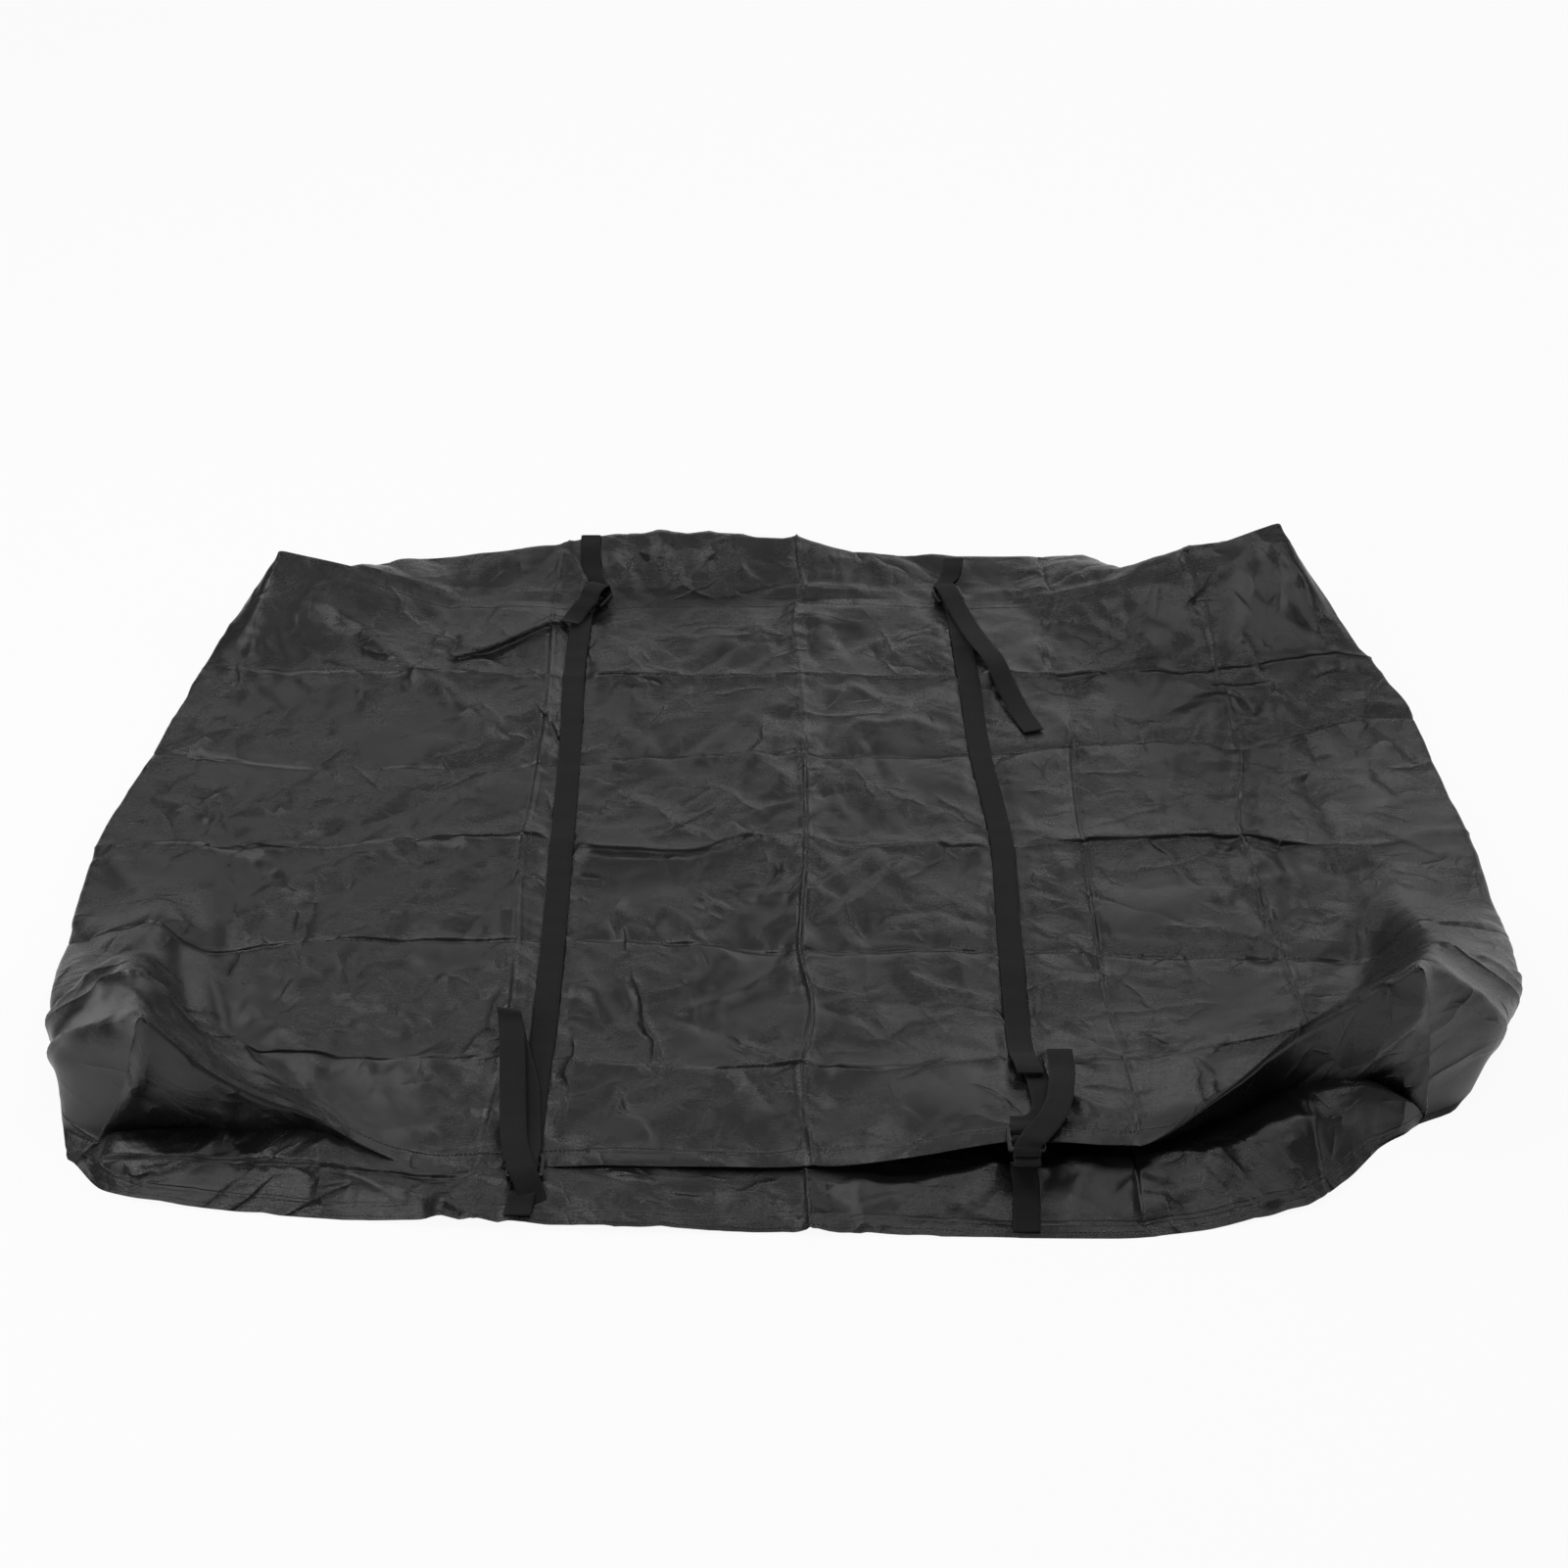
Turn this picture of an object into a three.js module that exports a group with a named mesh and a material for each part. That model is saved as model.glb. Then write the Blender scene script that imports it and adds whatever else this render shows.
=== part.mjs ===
// Soft cover for the load on a car's roof rack, empty and laid down on a floor.
// One wide cloth makes the top and both side walls. A front wall and a back wall are
// sewn to it, two webbing straps run front to back over the top, and each end of them
// holds a buckle through which a wall strap is threaded, with its tail left loose.
// The walls are folded in under the top, the four corners stand up hollow, and a strip
// of the front and of the back wall shows. Millimetres, +X to the right, +Y to the back.
import * as THREE from "three";

// Cut sizes of the cloth
const TOP_WIDTH = 1280;
const TOP_DEPTH = 960;
const CLOTH_THICKNESS = 1.2;

// Webbing and its buckles
const WEB_WIDTH = 25;
const WEB_THICKNESS = 1.4;
const BUCKLE_BAR = 4;
const BUCKLE_RAIL = 4;
const BUCKLE_SLOT = 8;
const BUCKLE_CORNER = 3;
const WEB_PLAY = 1;

// Clearance between two pieces that touch
const SEAM_GAP = 0.8;
const WEB_GAP = 0.6;

// How the cloth lies: height of the top over the floor, packing creases, folded layers
const TOP_REST = 7;
const CREASE_PITCH = 160;
const CREASE_HEIGHT = 3;
const CREASE_WIDTH = 9;
const LOW_LAYER = CLOTH_THICKNESS / 2;
const UPPER_LAYER = LOW_LAYER + CLOTH_THICKNESS + 1.6;

const HALF_WIDTH = TOP_WIDTH / 2;
const HALF_DEPTH = TOP_DEPTH / 2;
const LEFT = -1;
const RIGHT = 1;

const black = (name, color, roughness) =>
  new THREE.MeshStandardMaterial({ name, color, roughness, metalness: 0 });
const COATED_CLOTH = black("coated_cloth", 0x35353a, 0.42);
const WEBBING = black("webbing", 0x232325, 0.85);
const NYLON = black("nylon", 0x161617, 0.32);

// A smooth curve through [place, value] knots that never overshoots between two of them.
function profile(knots) {
  const slopes = knots.slice(1).map((k, i) => (k[1] - knots[i][1]) / (k[0] - knots[i][0]));
  const tangents = knots.map((k, i) => {
    const before = slopes[i - 1] ?? slopes[i];
    const after = slopes[i] ?? slopes[i - 1];
    return before * after <= 0 ? 0 : (2 * before * after) / (before + after);
  });
  return (place) => {
    const last = knots.length - 1;
    if (place <= knots[0][0]) return knots[0][1];
    if (place >= knots[last][0]) return knots[last][1];
    const i = knots.findIndex((k) => k[0] > place) - 1;
    const span = knots[i + 1][0] - knots[i][0];
    const t = (place - knots[i][0]) / span;
    return (
      knots[i][1] * (1 + 2 * t) * (1 - t) ** 2 +
      span * tangents[i] * t * (1 - t) ** 2 +
      knots[i + 1][1] * t * t * (3 - 2 * t) +
      span * tangents[i + 1] * t * t * (t - 1)
    );
  };
}

const mix = (a, b, t) => a + (b - a) * t;
const clamp = (x, low, high) => Math.min(high, Math.max(low, x));
const smooth = (x) => x * x * (3 - 2 * x);

// Places front to back are shares of half the depth, from -1 at the front seam to 1 at the
// back seam, and heights are over the top's rest height. Each side states where the edge
// of the box stands (shoulder), where the wall turns under (fold), where the cloth starts
// to rise from the floor, how sharply it then rises, and how far the rest of the wall is
// tucked in.
const SIDES = {
  [LEFT]: {
    shoulderIn: profile([[-1, 60], [-0.83, 32], [-0.62, 8], [-0.4, 0], [0.8, 0], [1, 15]]),
    shoulderUp: profile([
      [-1, 160], [-0.83, 125], [-0.62, 86], [-0.4, 46], [-0.15, 8], [0.3, 0], [0.66, 10], [0.84, 38], [1, 74],
    ]),
    foldOut: profile([
      [-1, -36], [-0.96, 6], [-0.92, 32], [-0.83, 58], [-0.55, 88], [-0.05, 107], [0.32, 82], [0.66, 58],
      [0.84, 26], [1, -10],
    ]),
    foldUp: profile([[-1, 84], [-0.83, 56], [-0.55, 34], [-0.2, 8], [0.3, 1], [0.66, 8], [0.84, 26], [1, 44]]),
    riseAt: profile([[-1, 320], [-0.9, 425], [-0.8, 500], [-0.62, 560], [-0.3, 600], [0.6, 590], [0.8, 480], [1, 400]]),
    steepen: profile([[-1, 2.3], [-0.85, 1.6], [-0.62, 1.15]]),
  },
  [RIGHT]: {
    shoulderIn: profile([[-1, 63], [-0.83, 34], [-0.62, 8], [-0.4, 0], [0.7, 0], [1, 34]]),
    shoulderUp: profile([
      [-1, 190], [-0.83, 146], [-0.62, 100], [-0.4, 56], [-0.15, 12], [0.3, 2], [0.66, 26], [0.84, 76], [1, 122],
    ]),
    foldOut: profile([
      [-1, -40], [-0.92, 12], [-0.8, 52], [-0.55, 92], [-0.1, 106], [0.46, 93], [0.66, 60], [0.84, 18], [1, -22],
    ]),
    foldUp: profile([[-1, 98], [-0.83, 66], [-0.55, 48], [-0.2, 12], [0.3, 2], [0.66, 22], [0.84, 56], [1, 74]]),
    riseAt: profile([[-1, 330], [-0.9, 430], [-0.8, 500], [-0.62, 560], [-0.3, 600], [0.5, 570], [0.8, 400], [1, 285]]),
    steepen: profile([[-1, 1.3], [-0.62, 1.15]]),
  },
};
const tuckIn = profile([
  [-1, 0], [-0.9, 12], [-0.82, 60], [-0.62, 200], [-0.5, 305], [0.5, 305], [0.62, 200], [0.82, 60],
  [0.9, 12], [1, 0],
]);

// How far the two seams wander from a straight line, by the place across the top.
const frontSeamOut = profile([
  [-640, -35], [-560, -28], [-480, -37], [-400, -14], [-320, 9], [-215, 1], [30, 3], [130, -12],
  [220, -30], [324, -24], [430, -52], [540, -80], [640, -69],
]);
const backSeamOut = profile([[-640, -4], [-540, 7], [-420, -8], [16, -3], [297, -6], [430, -20], [640, -15]]);
const SEAM_REACH = 0.55;

const creaseRidge = (distance) => CREASE_HEIGHT * Math.max(0, 1 - Math.abs(distance) / CREASE_WIDTH);
const CREASES_ACROSS = [-2, -1, 0, 1, 2].map((n) => n * CREASE_PITCH);
const CREASES_ALONG = [15, -282, 320, 515];

function creaseHeight(x, y) {
  const across = Math.max(...CREASES_ACROSS.map((at) => creaseRidge(y - at)));
  const along = Math.max(...CREASES_ALONG.map((at) => creaseRidge(x - at)));
  return Math.max(across, along);
}

// Where the row of cloth at depth v lies: its own seams pull it forward or back.
function rowShift(u, v) {
  const front = clamp(1 - (v + HALF_DEPTH) / (SEAM_REACH * HALF_DEPTH), 0, 1);
  const back = clamp(1 - (HALF_DEPTH - v) / (SEAM_REACH * HALF_DEPTH), 0, 1);
  return -frontSeamOut(u) * smooth(front) + backSeamOut(u) * smooth(back);
}

// The stations down one side, from the shoulder to the tucked end of the wall.
const WALL_STATIONS = ["high", "upper", "fold", "lower", "ground", "under", "tucked", "end"];

// A point of the wide cloth. Across the top, u is the cloth's own place; past the
// shoulder a station of the wall is named instead.
function topPoint(u, v) {
  const place = v / HALF_DEPTH;
  const side = SIDES[u < 0 ? LEFT : RIGHT];
  const across = Math.abs(u);
  const rise = side.riseAt(place);
  const shoulder = HALF_WIDTH - side.shoulderIn(place);
  const climb = clamp((across - rise) / (HALF_WIDTH - rise), 0, 1);
  const x = across < rise ? across : mix(rise, shoulder, climb);
  const lift = side.shoulderUp(place) * climb ** side.steepen(place);
  const z = TOP_REST + lift + creaseHeight(u, v) * (1 - climb);
  return new THREE.Vector3(Math.sign(u) * x, v + rowShift(u, v), z);
}

function wallPoint(sideSign, station, v) {
  const place = v / HALF_DEPTH;
  const side = SIDES[sideSign];
  const shoulder = topPoint(sideSign * HALF_WIDTH, v);
  const nearEnd = smooth(clamp((Math.abs(place) - 0.86) / 0.14, 0, 1));
  const foldX = HALF_WIDTH + side.foldOut(place);
  const foldZ = TOP_REST + side.foldUp(place);
  const groundX = foldX + mix(-foldZ * 0.25, cornerFootOut(sideSign, place), nearEnd);
  const groundZ = mix(LOW_LAYER, 2 * UPPER_LAYER, nearEnd);
  const run = tuckIn(place);
  const spots = {
    high: [mix(Math.abs(shoulder.x), foldX, 0.35), mix(shoulder.z, foldZ, 0.3)],
    upper: [mix(Math.abs(shoulder.x), foldX, 0.72), mix(shoulder.z, foldZ, 0.62)],
    fold: [foldX, foldZ],
    lower: [mix(foldX, groundX, 0.5) + 1.5 * (1 - nearEnd), mix(groundZ, foldZ, 0.45)],
    ground: [groundX, groundZ + 0.8],
    under: [groundX - 2 * (1 - nearEnd), groundZ - 1.6 * nearEnd],
    tucked: [groundX - 4 - run / 2, groundZ - 3.2 * nearEnd],
    end: [groundX - 5 - run, groundZ - 4.8 * nearEnd],
  };
  const tilt = 4 * nearEnd;
  const [x, z] = spots[station];
  const keepOut = station === "tucked" || station === "end" ? tilt : 0;
  return new THREE.Vector3(sideSign * (x + keepOut), shoulder.y, z);
}

function cornerFootOut(sideSign, place) {
  if (place < 0) return sideSign === LEFT ? 34 : 26;
  return 8;
}

// A sheet of cloth or webbing through a grid of points, closed all round.
function shell(name, rows, thickness, material) {
  const height = rows.length;
  const width = rows[0].length;
  const at = (i, j) => rows[clamp(i, 0, height - 1)][clamp(j, 0, width - 1)];
  const positions = [];
  for (const side of [0.5, -0.5]) {
    for (let i = 0; i < height; i++) {
      for (let j = 0; j < width; j++) {
        const along = at(i, j + 1).clone().sub(at(i, j - 1));
        const down = at(i + 1, j).clone().sub(at(i - 1, j));
        const normal = along.cross(down).normalize();
        positions.push(...at(i, j).clone().addScaledVector(normal, side * thickness).toArray());
      }
    }
  }
  const lower = width * height;
  const index = [];
  const quad = (a, b, c, d) => index.push(a, b, c, a, c, d);
  for (let i = 0; i < height - 1; i++) {
    for (let j = 0; j < width - 1; j++) {
      const a = i * width + j;
      quad(a, a + 1, a + width + 1, a + width);
      quad(lower + a, lower + a + width, lower + a + width + 1, lower + a + 1);
    }
  }
  for (let j = 0; j < width - 1; j++) {
    const last = (height - 1) * width + j;
    quad(j, lower + j, lower + j + 1, j + 1);
    quad(last, last + 1, lower + last + 1, lower + last);
  }
  for (let i = 0; i < height - 1; i++) {
    const first = i * width;
    const end = first + width - 1;
    quad(first, first + width, lower + first + width, lower + first);
    quad(end, lower + end, lower + end + width, end + width);
  }
  const geometry = new THREE.BufferGeometry();
  geometry.setAttribute("position", new THREE.Float32BufferAttribute(positions, 3));
  geometry.setIndex(index);
  geometry.computeVertexNormals();
  const mesh = new THREE.Mesh(geometry, material);
  mesh.name = name;
  return mesh;
}

// Places between two ends, with a crest and its two feet at each crease.
function stations(low, high, step, creases) {
  const places = new Set([low, high]);
  for (const crease of creases) {
    for (const side of [-CREASE_WIDTH, 0, CREASE_WIDTH]) {
      if (crease + side > low && crease + side < high) places.add(crease + side);
    }
  }
  const fixed = [...places].sort((a, b) => a - b);
  const all = [fixed[0]];
  for (const next of fixed.slice(1)) {
    const last = all[all.length - 1];
    const parts = Math.max(1, Math.round((next - last) / step));
    for (let k = 1; k <= parts; k++) all.push(mix(last, next, k / parts));
  }
  return all;
}

const DEPTH_ROWS = stations(-HALF_DEPTH, HALF_DEPTH, 42, CREASES_ACROSS);
const TOP_COLUMNS = stations(-HALF_WIDTH, HALF_WIDTH, 62, CREASES_ALONG);

function mainCloth() {
  const rows = DEPTH_ROWS.map((v) => [
    ...[...WALL_STATIONS].reverse().map((station) => wallPoint(LEFT, station, v)),
    ...TOP_COLUMNS.map((u) => topPoint(u, v)),
    ...WALL_STATIONS.map((station) => wallPoint(RIGHT, station, v)),
  ]);
  return shell("top_and_side_walls", rows, CLOTH_THICKNESS, COATED_CLOTH);
}

// How far a fold of two layers bulges past them
const FOLD_BULGE = 1.2;

// The line that a wall is sewn to: the edge of the wide cloth, moved in under the cloth
// by its thickness. Past a corner the line goes down the upright corner seam.
const SEAM_DROP = CLOTH_THICKNESS + SEAM_GAP;

function seamPoint(u, end) {
  const v = end * HALF_DEPTH;
  const step = 4;
  const edge = topPoint(u, v);
  if (Math.abs(u) === HALF_WIDTH) {
    return edge.add(new THREE.Vector3(-Math.sign(u) * 0.55 * SEAM_DROP, 0, -1.8 * SEAM_DROP));
  }
  const along = topPoint(u + step, v).sub(topPoint(u - step, v));
  const deep = topPoint(u, v).sub(topPoint(u, v - end * step)).multiplyScalar(end);
  const normal = along.cross(deep).normalize();
  return edge.addScaledVector(normal, -SEAM_DROP);
}

function cornerPoint(sideSign, station, end) {
  const point = wallPoint(sideSign, station, end * HALF_DEPTH);
  point.x -= sideSign * SEAM_DROP;
  return point;
}

const WALL_FIRST = 500;
const towardCorner = (s) => smooth(clamp((Math.abs(s) - WALL_FIRST) / (HALF_WIDTH - WALL_FIRST), 0, 1));
const CORNER_STATIONS = ["high", "upper", "fold", "lower", "ground"];
const CORNER_DROPS = [0.14, 0.29, 0.48, 0.76, 1];

// Front wall: from the seam it hangs down, folds in under the top, and comes out again on
// the floor as far as its hem. At the two corners it only hangs, and then runs forward.
const FRONT_DROPS = [0.7, 1, 1, 1, 1];
const FRONT_TUCKS = [0, 0.03, 0.12, 0.5, 1];
const frontTuck = profile([
  [-640, 0], [-600, 14], [-560, 46], [-480, 110], [-400, 170], [-300, 190], [300, 190], [400, 160],
  [480, 84], [540, 14], [600, 2], [640, 0],
]);
const footOut = profile([
  [-640, 34], [-560, 22], [-470, 4], [-400, 0], [400, 0], [470, 3], [560, 16], [640, 26],
]);
const hemX = profile([
  [-640, -664], [-600, -628], [-540, -562], [-480, -496], [-320, -322], [0, 0], [320, 322], [480, 478],
  [540, 522], [600, 574], [640, 622],
]);
const hemY = profile([
  [-640, -472], [-600, -506], [-540, -523], [-480, -532], [-320, -546], [0, -557], [295, -563],
  [480, -526], [540, -497], [600, -456], [640, -432],
]);
const frontHump = profile([
  [-640, 0], [-600, 18], [-480, 17], [-400, 9], [-320, 2], [180, 2], [300, 6], [420, 10], [520, 22],
  [600, 20], [640, 0],
]);
const FORWARD_SHARES = [1.3, 1.05, 0.85, 0.62, 0.34, 0.14, 0];
const HUMP_FULL = 0.8;
const HUMP_END = 1.3;
const humpShape = (w) =>
  smooth(clamp(w / HUMP_FULL, 0, 1)) * smooth(clamp((HUMP_END - w) / (HUMP_END - 0.9), 0, 1));

function frontColumn(s) {
  const seam = seamPoint(s, -1);
  const sideSign = s < 0 ? LEFT : RIGHT;
  const near = towardCorner(s);
  const foot = new THREE.Vector3(seam.x + sideSign * footOut(s), seam.y + frontTuck(s), UPPER_LAYER);
  const hang = FRONT_DROPS.map((drop, i) => {
    if (near === 1) return cornerPoint(sideSign, CORNER_STATIONS[i], -1);
    const down = mix(drop, CORNER_DROPS[i], near);
    return new THREE.Vector3(
      mix(seam.x, foot.x, CORNER_DROPS[i]),
      mix(seam.y, foot.y, FRONT_TUCKS[i]),
      mix(seam.z, foot.z, down),
    );
  });
  const low = hang[hang.length - 1];
  const turn = new THREE.Vector3(low.x, low.y + FOLD_BULGE, (low.z + LOW_LAYER) / 2);
  const under = new THREE.Vector3(low.x, low.y, LOW_LAYER);
  const start = (under.y - hemY(s)) / (seam.y - hemY(s));
  const reach = Math.min(1, start / 1.6);
  const forward = FORWARD_SHARES.map((share) => {
    const w = share * reach;
    const x = mix(hemX(s), under.x, clamp(w / start, 0, 1) ** 0.8);
    return new THREE.Vector3(x, mix(hemY(s), seam.y, w), LOW_LAYER + frontHump(s) * humpShape(w));
  });
  return [seam, ...hang, turn, under, ...forward];
}

// Back wall: from the seam it lies outward over a low rise, then folds and comes back in
// on the floor. Its outer fold is the far edge of the cover.
const BACK_SHARES = [0.16, 0.32, 0.54, 0.78, 1];
const backReach = profile([
  [-640, 476], [-590, 488], [-540, 512], [-480, 548], [-440, 564], [-340, 578], [-240, 588], [-127, 590],
  [20, 588], [70, 580], [120, 572], [300, 570], [390, 560], [440, 532], [500, 500], [580, 478], [640, 465],
]);
const backRise = profile([
  [-560, 36], [-480, 22], [-440, 14], [-340, 17], [-240, 30], [-127, 34], [20, 30], [70, 19], [120, 12],
  [300, 12], [440, 14], [560, 26],
]);
const backReturn = profile([
  [-640, 3], [-560, 40], [-480, 190], [-400, 300], [400, 300], [480, 190], [560, 40], [640, 3],
]);
const RETURN_SHARES = [0.12, 0.5, 1];
const RISE_FROM = 0.3;
const riseShare = (share) => smooth(clamp((share - RISE_FROM) / (1 - RISE_FROM), 0, 1));

function backColumn(s) {
  const seam = seamPoint(s, 1);
  const sideSign = s < 0 ? LEFT : RIGHT;
  const near = towardCorner(s);
  const outX = seam.x + sideSign * 0.3 * footOut(s);
  const edge = new THREE.Vector3(outX, backReach(s), UPPER_LAYER + backRise(s));
  const hang = BACK_SHARES.map((share, i) => {
    if (near === 1) return cornerPoint(sideSign, CORNER_STATIONS[i], 1);
    return new THREE.Vector3(
      mix(seam.x, edge.x, share),
      mix(seam.y, edge.y, share),
      mix(seam.z, edge.z, mix(riseShare(share), CORNER_DROPS[i], near)),
    );
  });
  const far = hang[hang.length - 1];
  const turn = new THREE.Vector3(far.x, far.y + FOLD_BULGE, (far.z + LOW_LAYER) / 2);
  const under = new THREE.Vector3(far.x, far.y, LOW_LAYER);
  const back = RETURN_SHARES.map(
    (share) => new THREE.Vector3(under.x, under.y - share * backReturn(s), LOW_LAYER),
  );
  return [seam, ...hang, turn, under, ...back];
}

// A wall's showing strip between the two corners, as its own rows give it: the line of the
// strip at x, from front to back, and its height at y.
function stripLine(columnAt, rows, x) {
  const right = TOP_COLUMNS.findIndex((column) => column > x);
  const [a, b] = [right - 1, right].map((k) => columnAt(TOP_COLUMNS[k]).slice(...rows));
  const share = (x - TOP_COLUMNS[right - 1]) / (TOP_COLUMNS[right] - TOP_COLUMNS[right - 1]);
  return a.map((point, k) => point.clone().lerp(b[k], share)).sort((p, q) => p.y - q.y);
}
const FRONT_STRIP = [frontColumn, [-FORWARD_SHARES.length]];
const BACK_STRIP = [backColumn, [0, 1 + BACK_SHARES.length]];

function heightOn(line, y) {
  const next = clamp(line.findIndex((p) => p.y > y), 1, line.length - 1);
  const share = (y - line[next - 1].y) / (line[next].y - line[next - 1].y);
  return mix(line[next - 1].z, line[next].z, share);
}

const rowsOf = (columns) => columns[0].map((_, i) => columns.map((column) => column[i]));

function frontWall() {
  return shell("front_wall", rowsOf(TOP_COLUMNS.map(frontColumn)).reverse(), CLOTH_THICKNESS, COATED_CLOTH);
}

function backWall() {
  return shell("back_wall", rowsOf(TOP_COLUMNS.map(backColumn)), CLOTH_THICKNESS, COATED_CLOTH);
}

// Webbing: a flat strip along stations, each a point and the direction across the strip.
function ribbon(name, path) {
  const positions = [];
  path.forEach(({ point, across }, i) => {
    const next = path[Math.min(i + 1, path.length - 1)].point;
    const last = path[Math.max(i - 1, 0)].point;
    const normal = next.clone().sub(last).cross(across).normalize();
    for (const [side, face] of [[1, 1], [-1, 1], [-1, -1], [1, -1]]) {
      const corner = point.clone().addScaledVector(across, (side * WEB_WIDTH) / 2);
      positions.push(...corner.addScaledVector(normal, (face * WEB_THICKNESS) / 2).toArray());
    }
  });
  const index = [];
  const quad = (a, b, c, d) => index.push(a, b, c, a, c, d);
  for (let i = 0; i < path.length - 1; i++) {
    for (let k = 0; k < 4; k++) {
      const near = 4 * i + k;
      const beside = 4 * i + ((k + 1) % 4);
      quad(near, beside, beside + 4, near + 4);
    }
  }
  const end = 4 * (path.length - 1);
  quad(3, 2, 1, 0);
  quad(end, end + 1, end + 2, end + 3);
  const geometry = new THREE.BufferGeometry();
  geometry.setAttribute("position", new THREE.Float32BufferAttribute(positions, 3));
  geometry.setIndex(index);
  geometry.computeVertexNormals();
  const mesh = new THREE.Mesh(geometry, WEBBING);
  mesh.name = name;
  return mesh;
}

const WEB_LIFT = (CLOTH_THICKNESS + WEB_THICKNESS) / 2 + WEB_GAP;
const acrossAt = (turn) => {
  const angle = THREE.MathUtils.degToRad(turn);
  return new THREE.Vector3(Math.cos(angle), Math.sin(angle), 0);
};
const station = (x, y, z, turn) => ({ point: new THREE.Vector3(x, y, z), across: acrossAt(turn) });

// Height of the top at a place, and a strap station a stated height over it.
function topHeight(x, y) {
  let v = y;
  for (let pass = 0; pass < 4; pass++) v = y - rowShift(x, v);
  return topPoint(x, v).z;
}
const overTop = ([x, y, over, turn]) => station(x, y, topHeight(x, y) + over, turn);

// The four corners of the webbing. Each buckle lies over a seam: place is the point of the
// seam below it, end says which seam, and turn is the buckle's own turn on the cloth.
// The wall strap runs there from the edge of its wall, and its tail ends on the cloth.
// Stations are [x, y, height over what it lies on, turn].
const BUCKLES = {
  front_left: {
    end: -1, place: [-240, -481], lift: 0, turn: 0,
    wall: [[-243, -544, 0, 0], [-242, -530, 0, 0], [-241, -517, 0.4, 0]],
    tail: [
      [-242, -436, 5, -4], [-248, -380, 5, -12], [-260, -335, 5, -16], [-269, -302, 5, -14],
      [-272, -292, 5.4, -12], [-273, -289, 6.9, -12], [-272, -292, 8.5, -12], [-270, -302, 9, -8],
      [-266, -330, 9, -4], [-261, -380, 9, 0], [-256, -430, 11, 6], [-252, -462, 13.6, 12],
      [-246, -484, 14, 16], [-240, -500, 13, 20], [-235, -511, 8, 22], [-231, -519, 2, 22],
      [-228, -527, -1.5, 22],
    ],
  },
  front_right: {
    end: -1, place: [222, -450], lift: 0, turn: 0,
    wall: [[220, -556, 0, 0], [222, -530, 0, 0], [223, -508, 0, 0], [222, -490, 0.3, 0]],
    tail: [
      [226, -463, 13.5, -16], [234, -452, 15, -34], [246, -436, 15.5, -22], [255, -415, 13, -8],
      [261, -390, 9, -2], [265, -366, 6.5, 0], [265, -347, 5, 0],
    ],
  },
  back_left: {
    end: 1, place: [-240, 466], lift: 2.4, turn: -25,
    wall: [[-248, 583, 1.2, 0], [-248, 560, 1.2, 0], [-246, 535, 1, -6], [-238, 512, 1, -18]],
    tail: [[-243, 455, 17, -25], [-250, 443, 14, -22], [-257, 432, 9, -20], [-262, 420, 5.6, -18], [-266, 409, 4.6, -16]],
  },
  back_right: {
    end: 1, place: [207, 474], lift: 2.4, turn: 16,
    wall: [[218, 560, 0, 0], [216, 545, 0, 2], [210, 525, 0, 8]],
    tail: [
      [222, 425, 7, 16], [238, 361, 12, 16], [252, 316, 8.5, 17], [265, 273, 5, 17], [278, 232, 3.4, 17],
      [290, 192, 2.4, 17],
    ],
  },
};

// A bar's centre is [out from the seam, height over the floor]. The top strap is looped on
// the inner bar; the wall strap goes up inside the middle bar, over it and out again.
const BAR_PITCH = BUCKLE_SLOT + BUCKLE_BAR;
const BUCKLE_HEIGHT = 12.2;
const INNER_BAR = -8;
const LOOP = [[-20, 8.9], [-6.4, 8.9], [-4.8, 9.5], [-4.7, 14.1], [-5.8, 15.4], [-9, 15.5], [-13, 14.4], [-20, 11.6], [-27, 11.1]];
const THREAD = [
  [28, 6.9], [17, 6.9], [8, 7], [3.4, 8.1], [0.9, 9.2], [0.7, 12], [0.9, 14.6], [2.4, 15.6], [5.6, 15.6],
  [7.1, 14.6], [7.2, 11.2], [8.4, 9.4], [10.5, 8.9], [18.5, 8.9],
];
const OVER_BUCKLE = [[21.5, 10.2], [22.6, 13], [21.2, 16], [17, 17.6], [5, 18.8], [-8, 18], [-22, 15.6]];
const SHORT_TURN = [[21.5, 10.2], [22.6, 13], [21.2, 16], [17, 17.6]];
const HIGH_ARCH = [[23, 10.6], [26, 15], [24.6, 21], [18, 25.4], [8, 27], [-2, 25.6]];
const TURNS = { front_left: OVER_BUCKLE, front_right: SHORT_TURN, back_left: HIGH_ARCH, back_right: OVER_BUCKLE };

function atBuckle({ place, end, lift, turn }, [out, height]) {
  const angle = THREE.MathUtils.degToRad(turn);
  const x = place[0] - end * Math.sin(angle) * out;
  return station(x, place[1] + end * Math.cos(angle) * out, height + lift, turn);
}

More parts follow.
